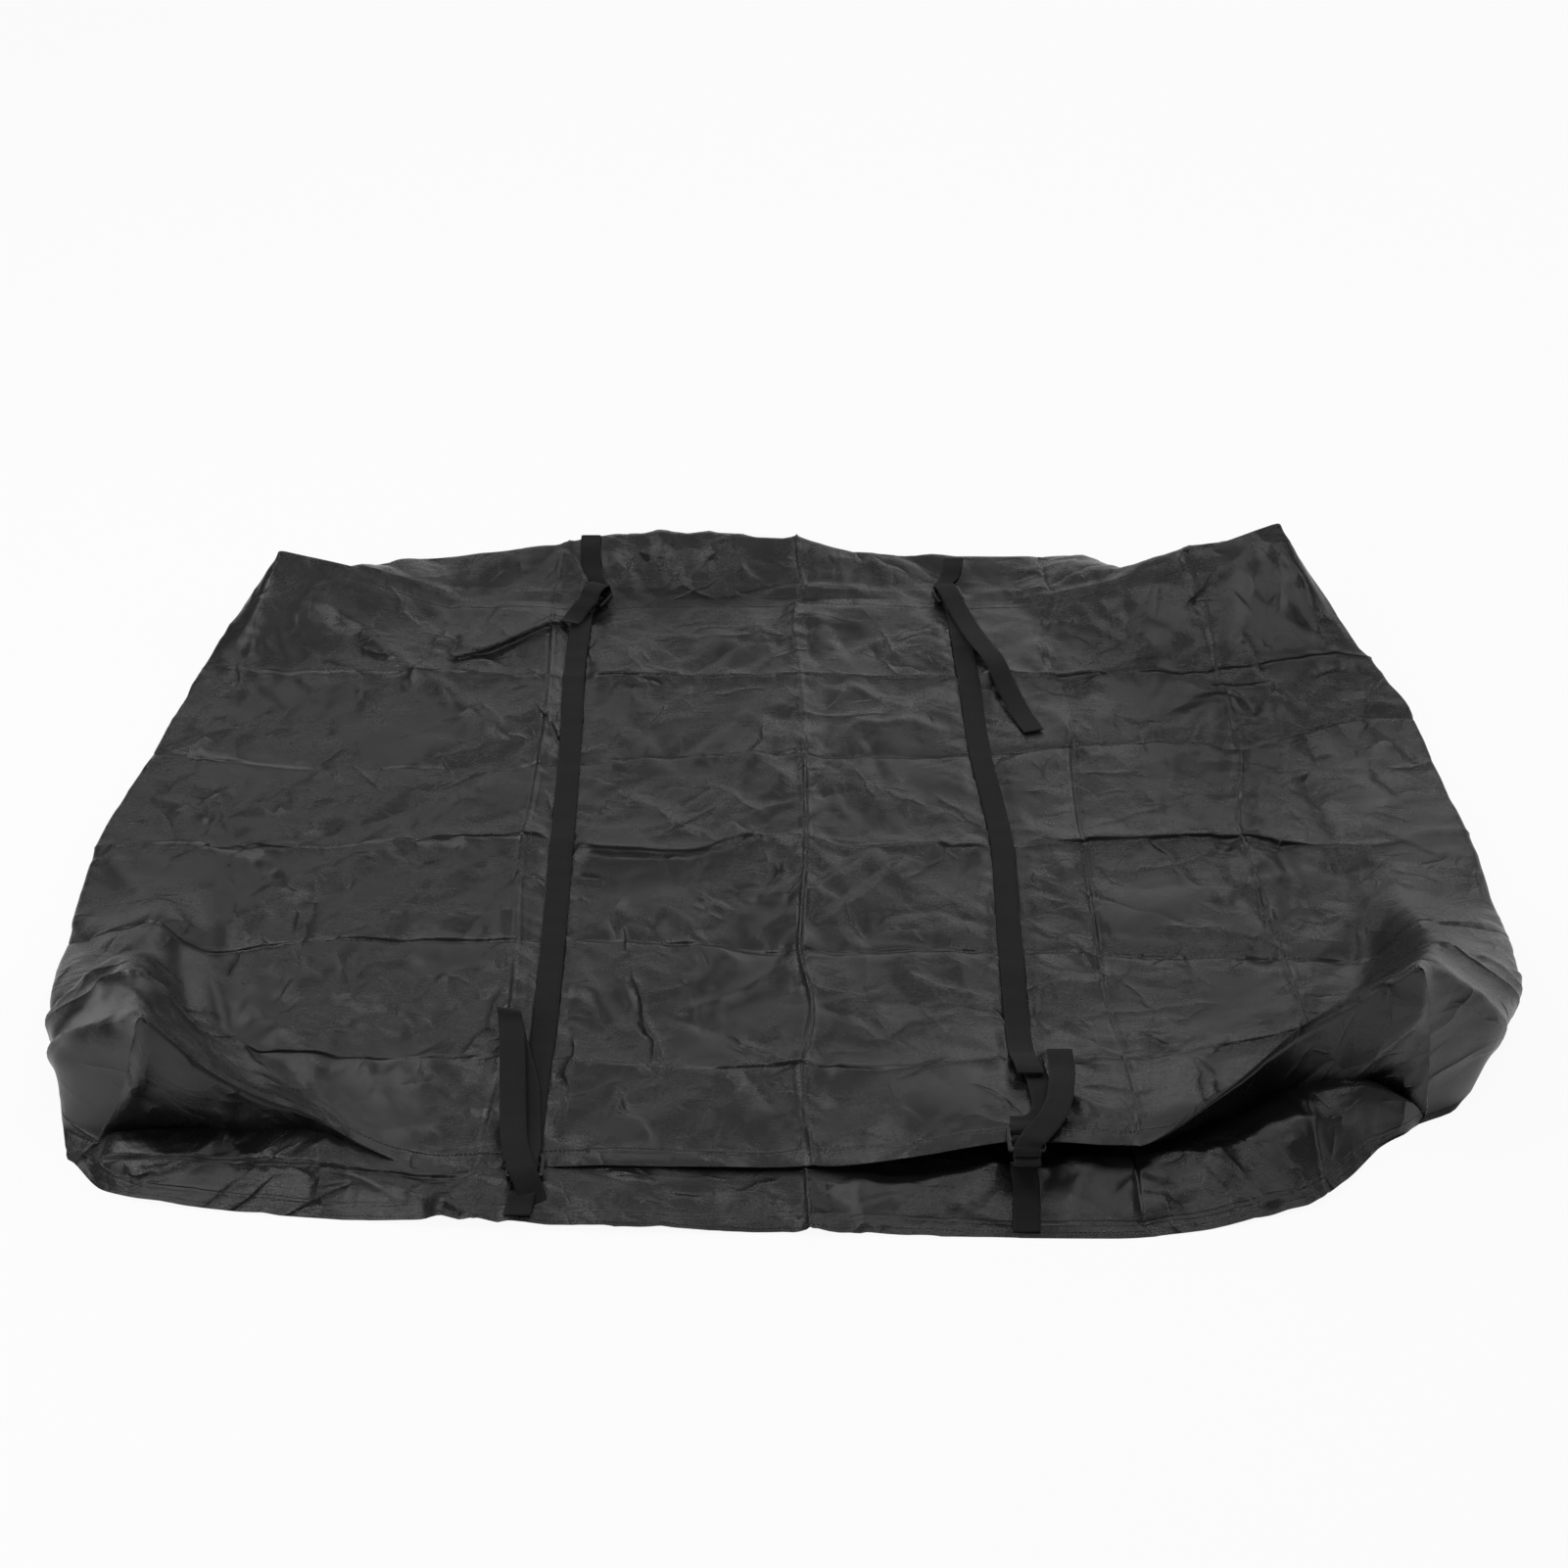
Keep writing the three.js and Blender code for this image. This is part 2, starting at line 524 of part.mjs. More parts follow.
function buckle(corner) {
  const { place, end, lift, turn } = BUCKLES[corner];
  const halfSpan = WEB_WIDTH / 2 + WEB_PLAY;
  const wide = halfSpan + BUCKLE_RAIL;
  const from = INNER_BAR - BUCKLE_BAR / 2;
  const to = from + 2 * BAR_PITCH + BUCKLE_BAR;
  const r = BUCKLE_CORNER;
  const outline = new THREE.Shape();
  outline.moveTo(-wide + r, from);
  outline.lineTo(wide - r, from);
  outline.quadraticCurveTo(wide, from, wide, from + r);
  outline.lineTo(wide, to - r);
  outline.quadraticCurveTo(wide, to, wide - r, to);
  outline.lineTo(-wide + r, to);
  outline.quadraticCurveTo(-wide, to, -wide, to - r);
  outline.lineTo(-wide, from + r);
  outline.quadraticCurveTo(-wide, from, -wide + r, from);
  for (const bar of [0, 1]) {
    const low = from + BUCKLE_BAR + bar * BAR_PITCH;
    const slot = new THREE.Path();
    slot.moveTo(-halfSpan, low);
    slot.lineTo(-halfSpan, low + BUCKLE_SLOT);
    slot.lineTo(halfSpan, low + BUCKLE_SLOT);
    slot.lineTo(halfSpan, low);
    slot.closePath();
    outline.holes.push(slot);
  }
  const geometry = new THREE.ExtrudeGeometry(outline, {
    depth: BUCKLE_BAR, bevelEnabled: false, curveSegments: 3,
  });
  const mesh = new THREE.Mesh(geometry, NYLON);
  mesh.rotation.z = THREE.MathUtils.degToRad(turn) + (end < 0 ? Math.PI : 0);
  mesh.position.set(place[0], place[1], BUCKLE_HEIGHT - BUCKLE_BAR / 2 + lift);
  mesh.name = `${corner}_buckle`;
  return mesh;
}

// A path of strap stations with one more wherever the strip below it bends.
function bent(path, line) {
  const places = path.flatMap((spot, i) => {
    if (i === path.length - 1) return [spot];
    const next = path[i + 1];
    const shares = line.map((p) => (p.y - spot[1]) / (next[1] - spot[1]));
    const inside = shares.filter((share) => share > 0.1 && share < 0.9).sort((a, b) => a - b);
    return [spot, ...inside.map((share) => spot.map((value, k) => mix(value, next[k], share)))];
  });
  return places;
}

function wallStrap(corner) {
  const set = BUCKLES[corner];
  const strip = set.end < 0 ? FRONT_STRIP : BACK_STRIP;
  const onWall = bent(set.wall, stripLine(...strip, set.wall[0][0])).map(([x, y, over, turn]) =>
    station(x, y, heightOn(stripLine(...strip, x), y) + WEB_LIFT + over, turn),
  );
  const threaded = [...THREAD, ...TURNS[corner]].map((spot) => atBuckle(set, spot));
  return ribbon(`${corner}_wall_strap`, [...onWall, ...threaded, ...set.tail.map(overTop)]);
}

// The top straps follow the top from buckle to buckle. The right one has slack before its
// front buckle, laid in an open fold.
const STRAP_LINES = {
  left: profile([[-480, -240], [-400, -240], [-283, -238], [-22, -242], [192, -247], [341, -252], [430, -250]]),
  right: profile([[-354, 231], [-281, 232], [-138, 235], [-21, 238], [173, 224], [264, 222], [341, 219], [440, 214]]),
};
const SLACK_FROM = -330;
const SLACK_FOLD = [
  [240, -418, 0, -6], [243, -385, 0, -2], [241, -362, 0, 0], [239, -351, 0.3, 0], [238, -347, 1.6, 0],
  [237, -351, 3, 0], [236, -362, 5, 0], [235, -371, 7, 0], [234, -375, 9.4, 0], [233, -371, 11.6, 0],
  [232, -361, 11, 0], [231, -349, 6, 0], [231, -340, 1.6, 0],
];
const STRAP_END = 36;

function topStrap(side, slack) {
  const front = BUCKLES[`front_${side}`];
  const back = BUCKLES[`back_${side}`];
  const low = slack.length ? SLACK_FROM : -HALF_DEPTH + STRAP_END;
  const rows = DEPTH_ROWS.filter((v) => v > low && v < back.place[1] - STRAP_END);
  const middle = rows.map((v) => {
    const x = STRAP_LINES[side](v);
    const point = topPoint(x, v);
    return station(x, point.y, point.z + WEB_LIFT, 0);
  });
  const loose = slack.map(([x, y, over, turn]) => overTop([x, y, WEB_LIFT + over, turn]));
  return ribbon(`${side}_top_strap`, [
    ...LOOP.map((spot) => atBuckle(front, spot)).reverse(),
    ...loose,
    ...middle,
    ...LOOP.map((spot) => atBuckle(back, spot)),
  ]);
}

// The whole cover, moved so that the middle of its box on the floor is the origin.
const cover = new THREE.Group();
cover.add(mainCloth(), frontWall(), backWall(), topStrap("left", []), topStrap("right", SLACK_FOLD));
for (const corner of Object.keys(BUCKLES)) cover.add(wallStrap(corner), buckle(corner));
const box = new THREE.Box3().setFromObject(cover, true);
const middle = box.getCenter(new THREE.Vector3());
cover.position.set(-middle.x, -middle.y, -box.min.z);
export default cover;
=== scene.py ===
"""Empty roof rack cover, lying soft on a pale floor with its walls folded in.

The cloth, webbing and buckles are made here as fine pieces that stand for the plain
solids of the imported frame. Tables are in millimetres in the cover's own frame: x to the
right, y from the front seam to the back seam with 0 between them, z up from the floor.
"""

from __future__ import annotations

import logging
import math
from collections.abc import Sequence
from dataclasses import dataclass
from enum import Enum

import bpy
import numpy as np
from mathutils import Matrix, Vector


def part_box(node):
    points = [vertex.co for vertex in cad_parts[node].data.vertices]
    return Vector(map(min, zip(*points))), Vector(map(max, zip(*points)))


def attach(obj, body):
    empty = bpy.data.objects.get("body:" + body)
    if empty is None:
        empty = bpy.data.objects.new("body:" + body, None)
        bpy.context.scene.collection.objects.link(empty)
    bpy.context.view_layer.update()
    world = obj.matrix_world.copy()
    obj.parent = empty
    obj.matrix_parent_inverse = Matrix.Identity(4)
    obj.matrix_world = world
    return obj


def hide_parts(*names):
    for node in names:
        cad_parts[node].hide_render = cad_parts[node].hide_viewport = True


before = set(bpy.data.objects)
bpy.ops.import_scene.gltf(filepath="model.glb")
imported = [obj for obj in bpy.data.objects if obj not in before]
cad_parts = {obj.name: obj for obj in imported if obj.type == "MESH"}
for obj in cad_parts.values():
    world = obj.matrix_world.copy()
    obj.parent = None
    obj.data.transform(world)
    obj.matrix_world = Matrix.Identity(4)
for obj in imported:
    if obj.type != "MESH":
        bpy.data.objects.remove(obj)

Array = np.ndarray
MM = 0.001
LOG = logging.getLogger("cover")

HALF_WIDTH = 640.0
HALF_DEPTH = 480.0
TOP_REST = 7.0
LOW_LAYER = 0.6
UPPER_LAYER = 3.4
SEAM_DROP = 1.4
FOLD_BULGE = 1.2
SEAM_REACH = 0.55
WALL_FIRST = 500.0
CORNER_FROM = 578.0
TOP_LAYER = 5.0
FADE_PARTS = 10
PUCKER_SEED = 300
PUCKER_SHARE_SEED = 320
ALLOWANCE = 4.0
WEB_WIDTH = 25.0
WEB_THICKNESS = 1.4


def smooth(x: Array | float) -> Array | float:
    """Ease from 0 to 1.

    Args:
        x: Share from 0 to 1.

    Returns:
        The eased share.
    """
    return x * x * (3 - 2 * x)


def mix(a: Array | float, b: Array | float, t: Array | float) -> Array | float:
    """Blend two values.

    Args:
        a: Value at t = 0.
        b: Value at t = 1.
        t: Share of b.

    Returns:
        The blended value.
    """
    return a + (b - a) * t


def hermite(i: Array, t: Array, span: Array, value: Array, tangent: Array) -> Array:
    """Read a smooth curve between its knots.

    Args:
        i: Number of the knot before each place.
        t: Share of the way to the next knot.
        span: Distance between the two knots.
        value: The knots' values.
        tangent: The knots' tangents.

    Returns:
        The values there.
    """
    return (
        value[i] * (1 + 2 * t) * (1 - t) ** 2
        + span * tangent[i] * t * (1 - t) ** 2
        + value[i + 1] * t * t * (3 - 2 * t)
        + span * tangent[i + 1] * t * t * (t - 1)
    )


class Profile:
    """A smooth curve through (place, value) knots that never overshoots between two."""

    def __init__(self, *knots: tuple[float, float]) -> None:
        """Work out the tangents.

        Args:
            *knots: The (place, value) pairs, in order of place.
        """
        self.place = np.array([k[0] for k in knots], float)
        self.value = np.array([k[1] for k in knots], float)
        slopes = np.diff(self.value) / np.diff(self.place)
        before = np.concatenate([slopes[:1], slopes])
        after = np.concatenate([slopes, slopes[-1:]])
        total = np.where(before + after == 0, 1, before + after)
        self.tangent = np.where(before * after <= 0, 0, 2 * before * after / total)

    def __call__(self, where: Array | float) -> Array:
        """Read the curve.

        Args:
            where: Places to read it at; past the ends it keeps its end value.

        Returns:
            The values there.
        """
        where = np.clip(np.asarray(where, float), self.place[0], self.place[-1])
        i = np.clip(np.searchsorted(self.place, where, side="right") - 1, 0, len(self.place) - 2)
        span = self.place[i + 1] - self.place[i]
        return hermite(i, (where - self.place[i]) / span, span, self.value, self.tangent)


@dataclass(frozen=True)
class SideLay:
    """How one side of the wide cloth lies, by the place from front (-1) to back (1)."""

    shoulder_in: Profile
    shoulder_up: Profile
    fold_out: Profile
    fold_up: Profile
    rise_at: Profile
    steepen: Profile
    front_foot: float
    flap: tuple[float, float]


LEFT_LAY = SideLay(
    shoulder_in=Profile((-1, 60), (-0.83, 32), (-0.62, 8), (-0.4, 0), (0.8, 0), (1, 15)),
    shoulder_up=Profile(
        (-1, 160), (-0.83, 125), (-0.62, 86), (-0.4, 46), (-0.15, 8), (0.3, 0), (0.66, 10), (0.84, 38),
        (1, 74),
    ),
    fold_out=Profile(
        (-1, -36), (-0.96, 14), (-0.92, 42), (-0.83, 60), (-0.55, 88), (-0.05, 107), (0.32, 82), (0.66, 58),
        (0.84, 26), (1, -10),
    ),
    fold_up=Profile((-1, 84), (-0.83, 56), (-0.55, 34), (-0.2, 8), (0.3, 1), (0.66, 8), (0.84, 26), (1, 44)),
    rise_at=Profile(
        (-1, 320), (-0.9, 425), (-0.8, 500), (-0.62, 560), (-0.3, 600), (0.6, 590), (0.8, 480),
        (1, 400),
    ),
    steepen=Profile((-1, 2.3), (-0.85, 1.6), (-0.62, 1.15)),
    front_foot=43.0,
    flap=(-18.0, -27.0),
)
RIGHT_LAY = SideLay(
    shoulder_in=Profile((-1, 63), (-0.83, 34), (-0.62, 8), (-0.4, 0), (0.7, 0), (1, 34)),
    shoulder_up=Profile(
        (-1, 190), (-0.83, 146), (-0.62, 100), (-0.4, 56), (-0.15, 12), (0.3, 2), (0.66, 26),
        (0.84, 76), (1, 122),
    ),
    fold_out=Profile(
        (-1, -40), (-0.96, 4), (-0.92, 34), (-0.8, 62), (-0.55, 92), (-0.1, 106), (0.46, 93),
        (0.66, 60), (0.84, 18), (1, -22),
    ),
    fold_up=Profile(
        (-1, 98), (-0.83, 66), (-0.55, 48), (-0.2, 12), (0.3, 2), (0.66, 22), (0.84, 56), (1, 74),
    ),
    rise_at=Profile(
        (-1, 330), (-0.9, 430), (-0.8, 500), (-0.62, 560), (-0.3, 600), (0.5, 570), (0.8, 400),
        (1, 285),
    ),
    steepen=Profile((-1, 1.3), (-0.62, 1.15)),
    front_foot=14.0,
    flap=(8.0, -11.0),
)
BACK_FOOT = 8.0
FLAP_FROM = 0.86
FLAP_FULL = 0.965
TUCK_IN = Profile(
    (-1, 0), (-0.9, 12), (-0.82, 60), (-0.62, 200), (-0.5, 305), (0.5, 305), (0.62, 200), (0.82, 60),
    (0.9, 12), (1, 0),
)
FRONT_SEAM = Profile(
    (-640, -35), (-560, -28), (-480, -37), (-400, -14), (-320, 9), (-215, 1), (30, 3), (130, -12),
    (220, -30), (324, -24), (430, -52), (540, -80), (640, -69),
)
BACK_SEAM = Profile((-640, -4), (-540, 7), (-420, -8), (16, -3), (297, -6), (430, -20), (640, -15))

FRONT_PARTS = (4, 4, 4, 4, 4, 2, 2, 8, 8, 8, 10, 12, 10, 8)
BACK_PARTS = (7, 7, 8, 8, 8, 2, 2, 2, 3, 3)
HANG_SPANS = 5
FRONT_STRIP = sum(FRONT_PARTS[8:])
BACK_WALL = 1 + sum(BACK_PARTS[:HANG_SPANS])
FRONT_DROPS = (0.7, 1.0, 1.0, 1.0, 1.0)
FRONT_TUCKS = (0.0, 0.03, 0.12, 0.5, 1.0)
CORNER_DROPS = (0.14, 0.29, 0.48, 0.76, 1.0)
FRONT_TUCK = Profile(
    (-640, 0), (-600, 14), (-560, 46), (-480, 110), (-400, 170), (-300, 190), (300, 190), (400, 160),
    (480, 84), (540, 14), (600, 2), (640, 0),
)
FOOT_OUT = Profile((-640, 34), (-560, 22), (-470, 4), (-400, 0), (400, 0), (470, 3), (560, 16), (640, 26))
HEM_X = Profile(
    (-640, -664), (-600, -628), (-540, -562), (-480, -496), (-320, -322), (0, 0), (320, 322), (480, 478),
    (540, 518), (600, 564), (640, 606),
)
HEM_Y = Profile(
    (-640, -472), (-600, -506), (-540, -523), (-480, -532), (-320, -546), (0, -557), (295, -563),
    (480, -526), (540, -497), (600, -450), (640, -422),
)
FRONT_HUMP = Profile(
    (-640, 0), (-600, 14), (-480, 12), (-400, 7), (-320, 2), (180, 1), (300, 2), (420, 8), (475, 26),
    (530, 44), (572, 52), (606, 30), (640, 0),
)
FORWARD_SHARES = (1.3, 1.05, 0.85, 0.62, 0.34, 0.14, 0.0)
BROW = Profile(
    (20, 0), (70, 10), (120, 26), (180, 34), (220, 36), (300, 36), (380, 28), (460, 12), (540, 0)
)
BROW_FROM = 290.0
BROW_FULL = 425.0
SIGHT = 0.91
HUMP_FULL = 0.8
HUMP_END = 1.3
BACK_SHARES = (0.16, 0.32, 0.54, 0.78, 1.0)
BACK_REACH = Profile(
    (-640, 476), (-590, 488), (-540, 512), (-480, 548), (-440, 564), (-340, 578), (-240, 588), (-127, 590),
    (20, 588), (70, 580), (120, 572), (300, 570), (390, 560), (440, 532), (500, 500), (580, 478), (640, 465),
)
BACK_RISE = Profile(
    (-560, 36), (-480, 22), (-440, 14), (-340, 17), (-240, 30), (-127, 34), (20, 30), (70, 19), (120, 12),
    (300, 12), (440, 14), (560, 26),
)
BACK_RETURN = Profile(
    (-640, 3), (-560, 40), (-480, 190), (-400, 300), (400, 300), (480, 190), (560, 40), (640, 3)
)
RETURN_SHARES = (0.12, 0.5, 1.0)
RISE_FROM = 0.3


def run_of(points: Array) -> Array:
    """Distance from the start, at each point of a line or of each row of a grid.

    Args:
        points: The points, in one line or in rows.

    Returns:
        The distances.
    """
    step = np.linalg.norm(np.diff(points, axis=-2), axis=-1)
    return np.concatenate([np.zeros_like(step[..., :1]), np.cumsum(step, -1)], -1)


def read_off(where: Array, run: Array, points: Array) -> Array:
    """Points of a polyline.

    Args:
        where: Distances from its start.
        run: Distance of each of its corners.
        points: Its corners.

    Returns:
        The points at those distances.
    """
    return np.stack([np.interp(where, run, points[:, axis]) for axis in range(3)], -1)


def unit(vectors: Array) -> Array:
    """Vectors of length 1.

    Args:
        vectors: Vectors of any length.

    Returns:
        The unit vectors.
    """
    return vectors / np.maximum(np.linalg.norm(vectors, axis=-1, keepdims=True), 1e-9)


def ramp(x: Array, low: float, high: float) -> Array:
    """Ease from 0 at low to 1 at high.

    Args:
        x: Values to place between the two.
        low: Where the ramp starts.
        high: Where the ramp ends.

    Returns:
        The eased shares.
    """
    return smooth(np.clip((x - low) / (high - low), 0, 1))


class CoverForm:
    """The smooth form of the cover: where each cloth lies before it is creased."""

    def side_value(self, name: str, u: Array, place: Array) -> Array:
        """Read one profile of the side that u is on.

        Args:
            name: Name of the profile.
            u: Places across the cloth.
            place: Places from front (-1) to back (1).

        Returns:
            The profile's values.
        """
        return np.where(u < 0, getattr(LEFT_LAY, name)(place), getattr(RIGHT_LAY, name)(place))

    def row_shift(self, u: Array, v: Array) -> Array:
        """How far the seams pull a row forward or back.

        Args:
            u: Places across the cloth.
            v: Places along the depth.

        Returns:
            The shift in y.
        """
        front = np.clip(1 - (v + HALF_DEPTH) / (SEAM_REACH * HALF_DEPTH), 0, 1)
        back = np.clip(1 - (HALF_DEPTH - v) / (SEAM_REACH * HALF_DEPTH), 0, 1)
        return -FRONT_SEAM(u) * smooth(front) + BACK_SEAM(u) * smooth(back)

    def top(self, u: Array, v: Array) -> Array:
        """Points of the wide cloth between its two shoulders.

        Args:
            u: Places across the cloth.
            v: Places along the depth.

        Returns:
            The points.
        """
        place = v / HALF_DEPTH
        across = np.minimum(np.abs(u), HALF_WIDTH)
        rise = self.side_value("rise_at", u, place)
        shoulder = HALF_WIDTH - self.side_value("shoulder_in", u, place)
        climb = np.clip((across - rise) / (HALF_WIDTH - rise), 0, 1)
        x = np.where(across < rise, across, mix(rise, shoulder, climb))
        steep = self.side_value("steepen", u, place)
        z = TOP_REST + self.side_value("shoulder_up", u, place) * climb**steep
        y = v + self.row_shift(np.clip(u, -HALF_WIDTH, HALF_WIDTH), v)
        return np.stack([np.sign(u) * x, y, z], -1)

    def side(self, sign: int, v: Array) -> Array:
        """Stations down one side wall, from its shoulder to its tucked end.

        Args:
            sign: -1 for the left side, 1 for the right.
            v: Places along the depth.

        Returns:
            Points, one row of nine for each place.
        """
        place = v / HALF_DEPTH
        lay = LEFT_LAY if sign < 0 else RIGHT_LAY
        edge = self.top(np.full_like(v, sign * HALF_WIDTH), v)
        near = ramp(np.abs(place), 0.86, 1.0)
        fold_x = HALF_WIDTH + lay.fold_out(place)
        fold_z = TOP_REST + lay.fold_up(place)
        ground_x = fold_x + mix(-fold_z * 0.25, np.where(place < 0, lay.front_foot, BACK_FOOT), near)
        ground_z = mix(LOW_LAYER, 2 * UPPER_LAYER, near)
        run = TUCK_IN(place)
        edge_x, edge_z = np.abs(edge[:, 0]), edge[:, 2]
        spots = [
            (edge_x, edge_z),
            (mix(edge_x, fold_x, 0.35), mix(edge_z, fold_z, 0.3)),
            (mix(edge_x, fold_x, 0.72), mix(edge_z, fold_z, 0.62)),
            (fold_x, fold_z),
            (mix(fold_x, ground_x, 0.5) + 1.5 * (1 - near), mix(ground_z, fold_z, 0.45)),
            (ground_x, ground_z + 0.8),
            (ground_x - 2 * (1 - near), ground_z - 1.6 * near),
            (ground_x - 4 - run / 2 + 4 * near, ground_z - 3.2 * near),
            (ground_x - 5 - run + 4 * near, ground_z - 4.8 * near),
        ]
        points = np.stack([np.stack([sign * x, edge[:, 1], z], -1) for x, z in spots], 1)
        for share, station in ((0.5, 7), (1.0, 8)):
            points[:, station, 0] -= sign * share * ramp(-place, FLAP_FULL, 1.0) * lay.flap[0]
            points[:, station, 1] += share * ramp(-place, FLAP_FROM, 1.0) * lay.flap[1]
        return points

    def seam(self, s: Array, end: int) -> Array:
        """The line that a wall is sewn to, just under the edge of the wide cloth.

        Args:
            s: Places along the seam.
            end: -1 for the front seam, 1 for the back seam.

        Returns:
            The seam's points.
        """
        v = np.full_like(s, end * HALF_DEPTH)
        edge = self.top(s, v)
        along = self.top(s + 4, v) - self.top(s - 4, v)
        deep = (edge - self.top(s, v - end * 4)) * end
        return edge - unit(np.cross(along, deep)) * SEAM_DROP

    def columns(self, s: Array, end: int) -> tuple[Array, tuple[int, ...]]:
        """Columns of a sewn wall, each a polyline from the seam to the wall's end.

        Args:
            s: Places along the seam.
            end: -1 for the front wall, 1 for the back wall.

        Returns:
            The points, one row for each place along the seam, and how finely to divide
            the space after each of them.
        """
        seam = self.seam(s, end)
        sign = np.where(s < 0, -1.0, 1.0)
        near = ramp(np.abs(s), WALL_FIRST, HALF_WIDTH)
        at_corner = np.clip((np.abs(s) - CORNER_FROM) / (HALF_WIDTH - CORNER_FROM), 0, 1)[:, None]
        corner = {k: self.side(k, np.array([end * HALF_DEPTH]))[0, 1:6] - [k * 2.0, 0, 0] for k in (-1, 1)}
        if end < 0:
            x, y, z = seam[:, 0] + sign * FOOT_OUT(s), seam[:, 1] + FRONT_TUCK(s), 0 * s + UPPER_LAYER
        else:
            x, y, z = seam[:, 0] + sign * 0.3 * FOOT_OUT(s), BACK_REACH(s), UPPER_LAYER + BACK_RISE(s)
        foot = np.stack([x, y, z], -1)
        hang = []
        for i, corner_drop in enumerate(CORNER_DROPS):
            if end < 0:
                shares = (corner_drop, FRONT_TUCKS[i], mix(FRONT_DROPS[i], corner_drop, near))
            else:
                share = BACK_SHARES[i]
                shares = (share, share, mix(ramp(np.array(share), RISE_FROM, 1), corner_drop, near))
            point = np.stack([mix(seam[:, k], foot[:, k], shares[k]) for k in range(3)], -1)
            ends = np.where(s[:, None] < 0, corner[-1][i], corner[1][i])
            hang.append(mix(point, ends, at_corner))
        low = hang[-1]
        turn = np.stack([low[:, 0], low[:, 1] + FOLD_BULGE, (low[:, 2] + LOW_LAYER) / 2], -1)
        under = np.stack([low[:, 0], low[:, 1], 0 * s + LOW_LAYER], -1)
        if end > 0:
            back = [under - np.stack([0 * s, share * BACK_RETURN(s), 0 * s], -1) for share in RETURN_SHARES]
            return np.stack([seam, *hang, turn, under, *back], 1), BACK_PARTS
        start = (under[:, 1] - HEM_Y(s)) / (seam[:, 1] - HEM_Y(s))
        reach = np.minimum(1, start / 1.6)
        forward = []
        for share in FORWARD_SHARES:
            w = share * reach
            hump = ramp(w, 0, HUMP_FULL) * ramp(HUMP_END - w, 0, HUMP_END - 0.9)
            x = mix(HEM_X(s), under[:, 0], np.clip(w / start, 0, 1) ** 0.8)
            forward.append(np.stack([x, mix(HEM_Y(s), seam[:, 1], w), LOW_LAYER + FRONT_HUMP(s) * hump], -1))
        return np.stack([seam, *hang, turn, under, *forward], 1), FRONT_PARTS


def divide(columns: Array, parts: Sequence[int]) -> Array:
    """Divide polylines more finely.

    Args:
        columns: Points, one polyline in each row.
        parts: How many pieces the space after each point is cut into.

    Returns:
        The finer polylines.
    """
    pieces = []
    for k, count in enumerate(parts):
        for step in range(count):
            pieces.append(mix(columns[:, k], columns[:, k + 1], step / count))
    pieces.append(columns[:, -1])
    return np.stack(pieces, 1)


def relax(grid: Array, axis: int, passes: int) -> Array:
    """Even a grid of points out along one direction, with its ends kept.

    Args:
        grid: The points.
        axis: 0 to go down the rows, 1 to go along them.
        passes: How many times to do it.

    Returns:
        The softer grid.
    """
    moved = np.moveaxis(grid.copy(), axis, 0)
    for _ in range(passes):
        moved[1:-1] = (moved[:-2] + 2 * moved[1:-1] + moved[2:]) / 4
    return np.moveaxis(moved, 0, axis)


def normals_of(grid: Array) -> Array:
    """Normals of a grid of points.

    Args:
        grid: The points, in rows.

    Returns:
        One unit normal for each point.
    """
    along = np.gradient(grid, axis=1)
    down = np.gradient(grid, axis=0)
    return unit(np.cross(along, down))


class SoftNoise:
    """Smooth noise on a lattice of random heights."""

    def __init__(self, seed: int, cell: float) -> None:
        """Fill the lattice.

        Args:
            seed: Seed of the heights.
            cell: Size of a lattice cell.
        """
        self.heights = np.random.default_rng(seed).uniform(-1, 1, (96, 96))
        self.cell = cell

    def __call__(self, u: Array, v: Array) -> Array:
        """Read the noise.

        Args:
            u: Places across.
            v: Places along.

        Returns:
            Values from -1 to 1.
        """
        a, b = u / self.cell + 40, v / self.cell + 40
        i, j = np.floor(a).astype(int), np.floor(b).astype(int)
        s, t = smooth(a - i), smooth(b - j)
        i, j, n = i % 95, j % 95, self.heights
        return mix(mix(n[i, j], n[i + 1, j], s), mix(n[i, j + 1], n[i + 1, j + 1], s), t)


class FacetNoise:
    """Flat three-cornered facets that meet at sharp lines, as in crumpled cloth."""

    def __init__(self, seed: int, cell: float, turn: float, stretch: float) -> None:
        """Fill a lattice of corner heights.

        Args:
            seed: Seed of the heights.
            cell: Size of a facet.
            turn: Angle of the facets' long way.
            stretch: How much longer than wide they are.
        """
        self.heights = np.random.default_rng(seed).uniform(-1, 1, (96, 96))
        self.across = np.array([math.cos(turn), math.sin(turn)]) / (cell * stretch)
        self.along = np.array([-math.sin(turn), math.cos(turn)]) * stretch / cell
        self.bend = (SoftNoise(seed + 1, 1.3 * cell), SoftNoise(seed + 2, 1.3 * cell))

    def __call__(self, u: Array, v: Array) -> Array:
        """Read the facets.

        Args:
            u: Places across.
            v: Places along.

        Returns:
            Heights from -1 to 1.
        """
        b = (u * self.along[0] + v * self.along[1] + 0.45 * self.bend[1](u, v)) * 1.1547 + 40
        a = u * self.across[0] + v * self.across[1] + 0.45 * self.bend[0](u, v) + 0.5 * b + 40
        i, j = np.floor(a).astype(int), np.floor(b).astype(int)
        s, t = a - i, b - j
        i, j, n = i % 95, j % 95, self.heights
        near, far = n[i, j], n[i + 1, j + 1]
        side, other = n[i + 1, j], n[i, j + 1]
        low = near + s * (side - near) + t * (other - near)
        high = far + (1 - s) * (other - far) + (1 - t) * (side - far)
        return np.where(s + t < 1, low, high)


class Shape(Enum):
    """How the cloth stands across the line of a fold."""

    RIDGE = "ridge"
    VALLEY = "valley"
    PLEAT = "pleat"


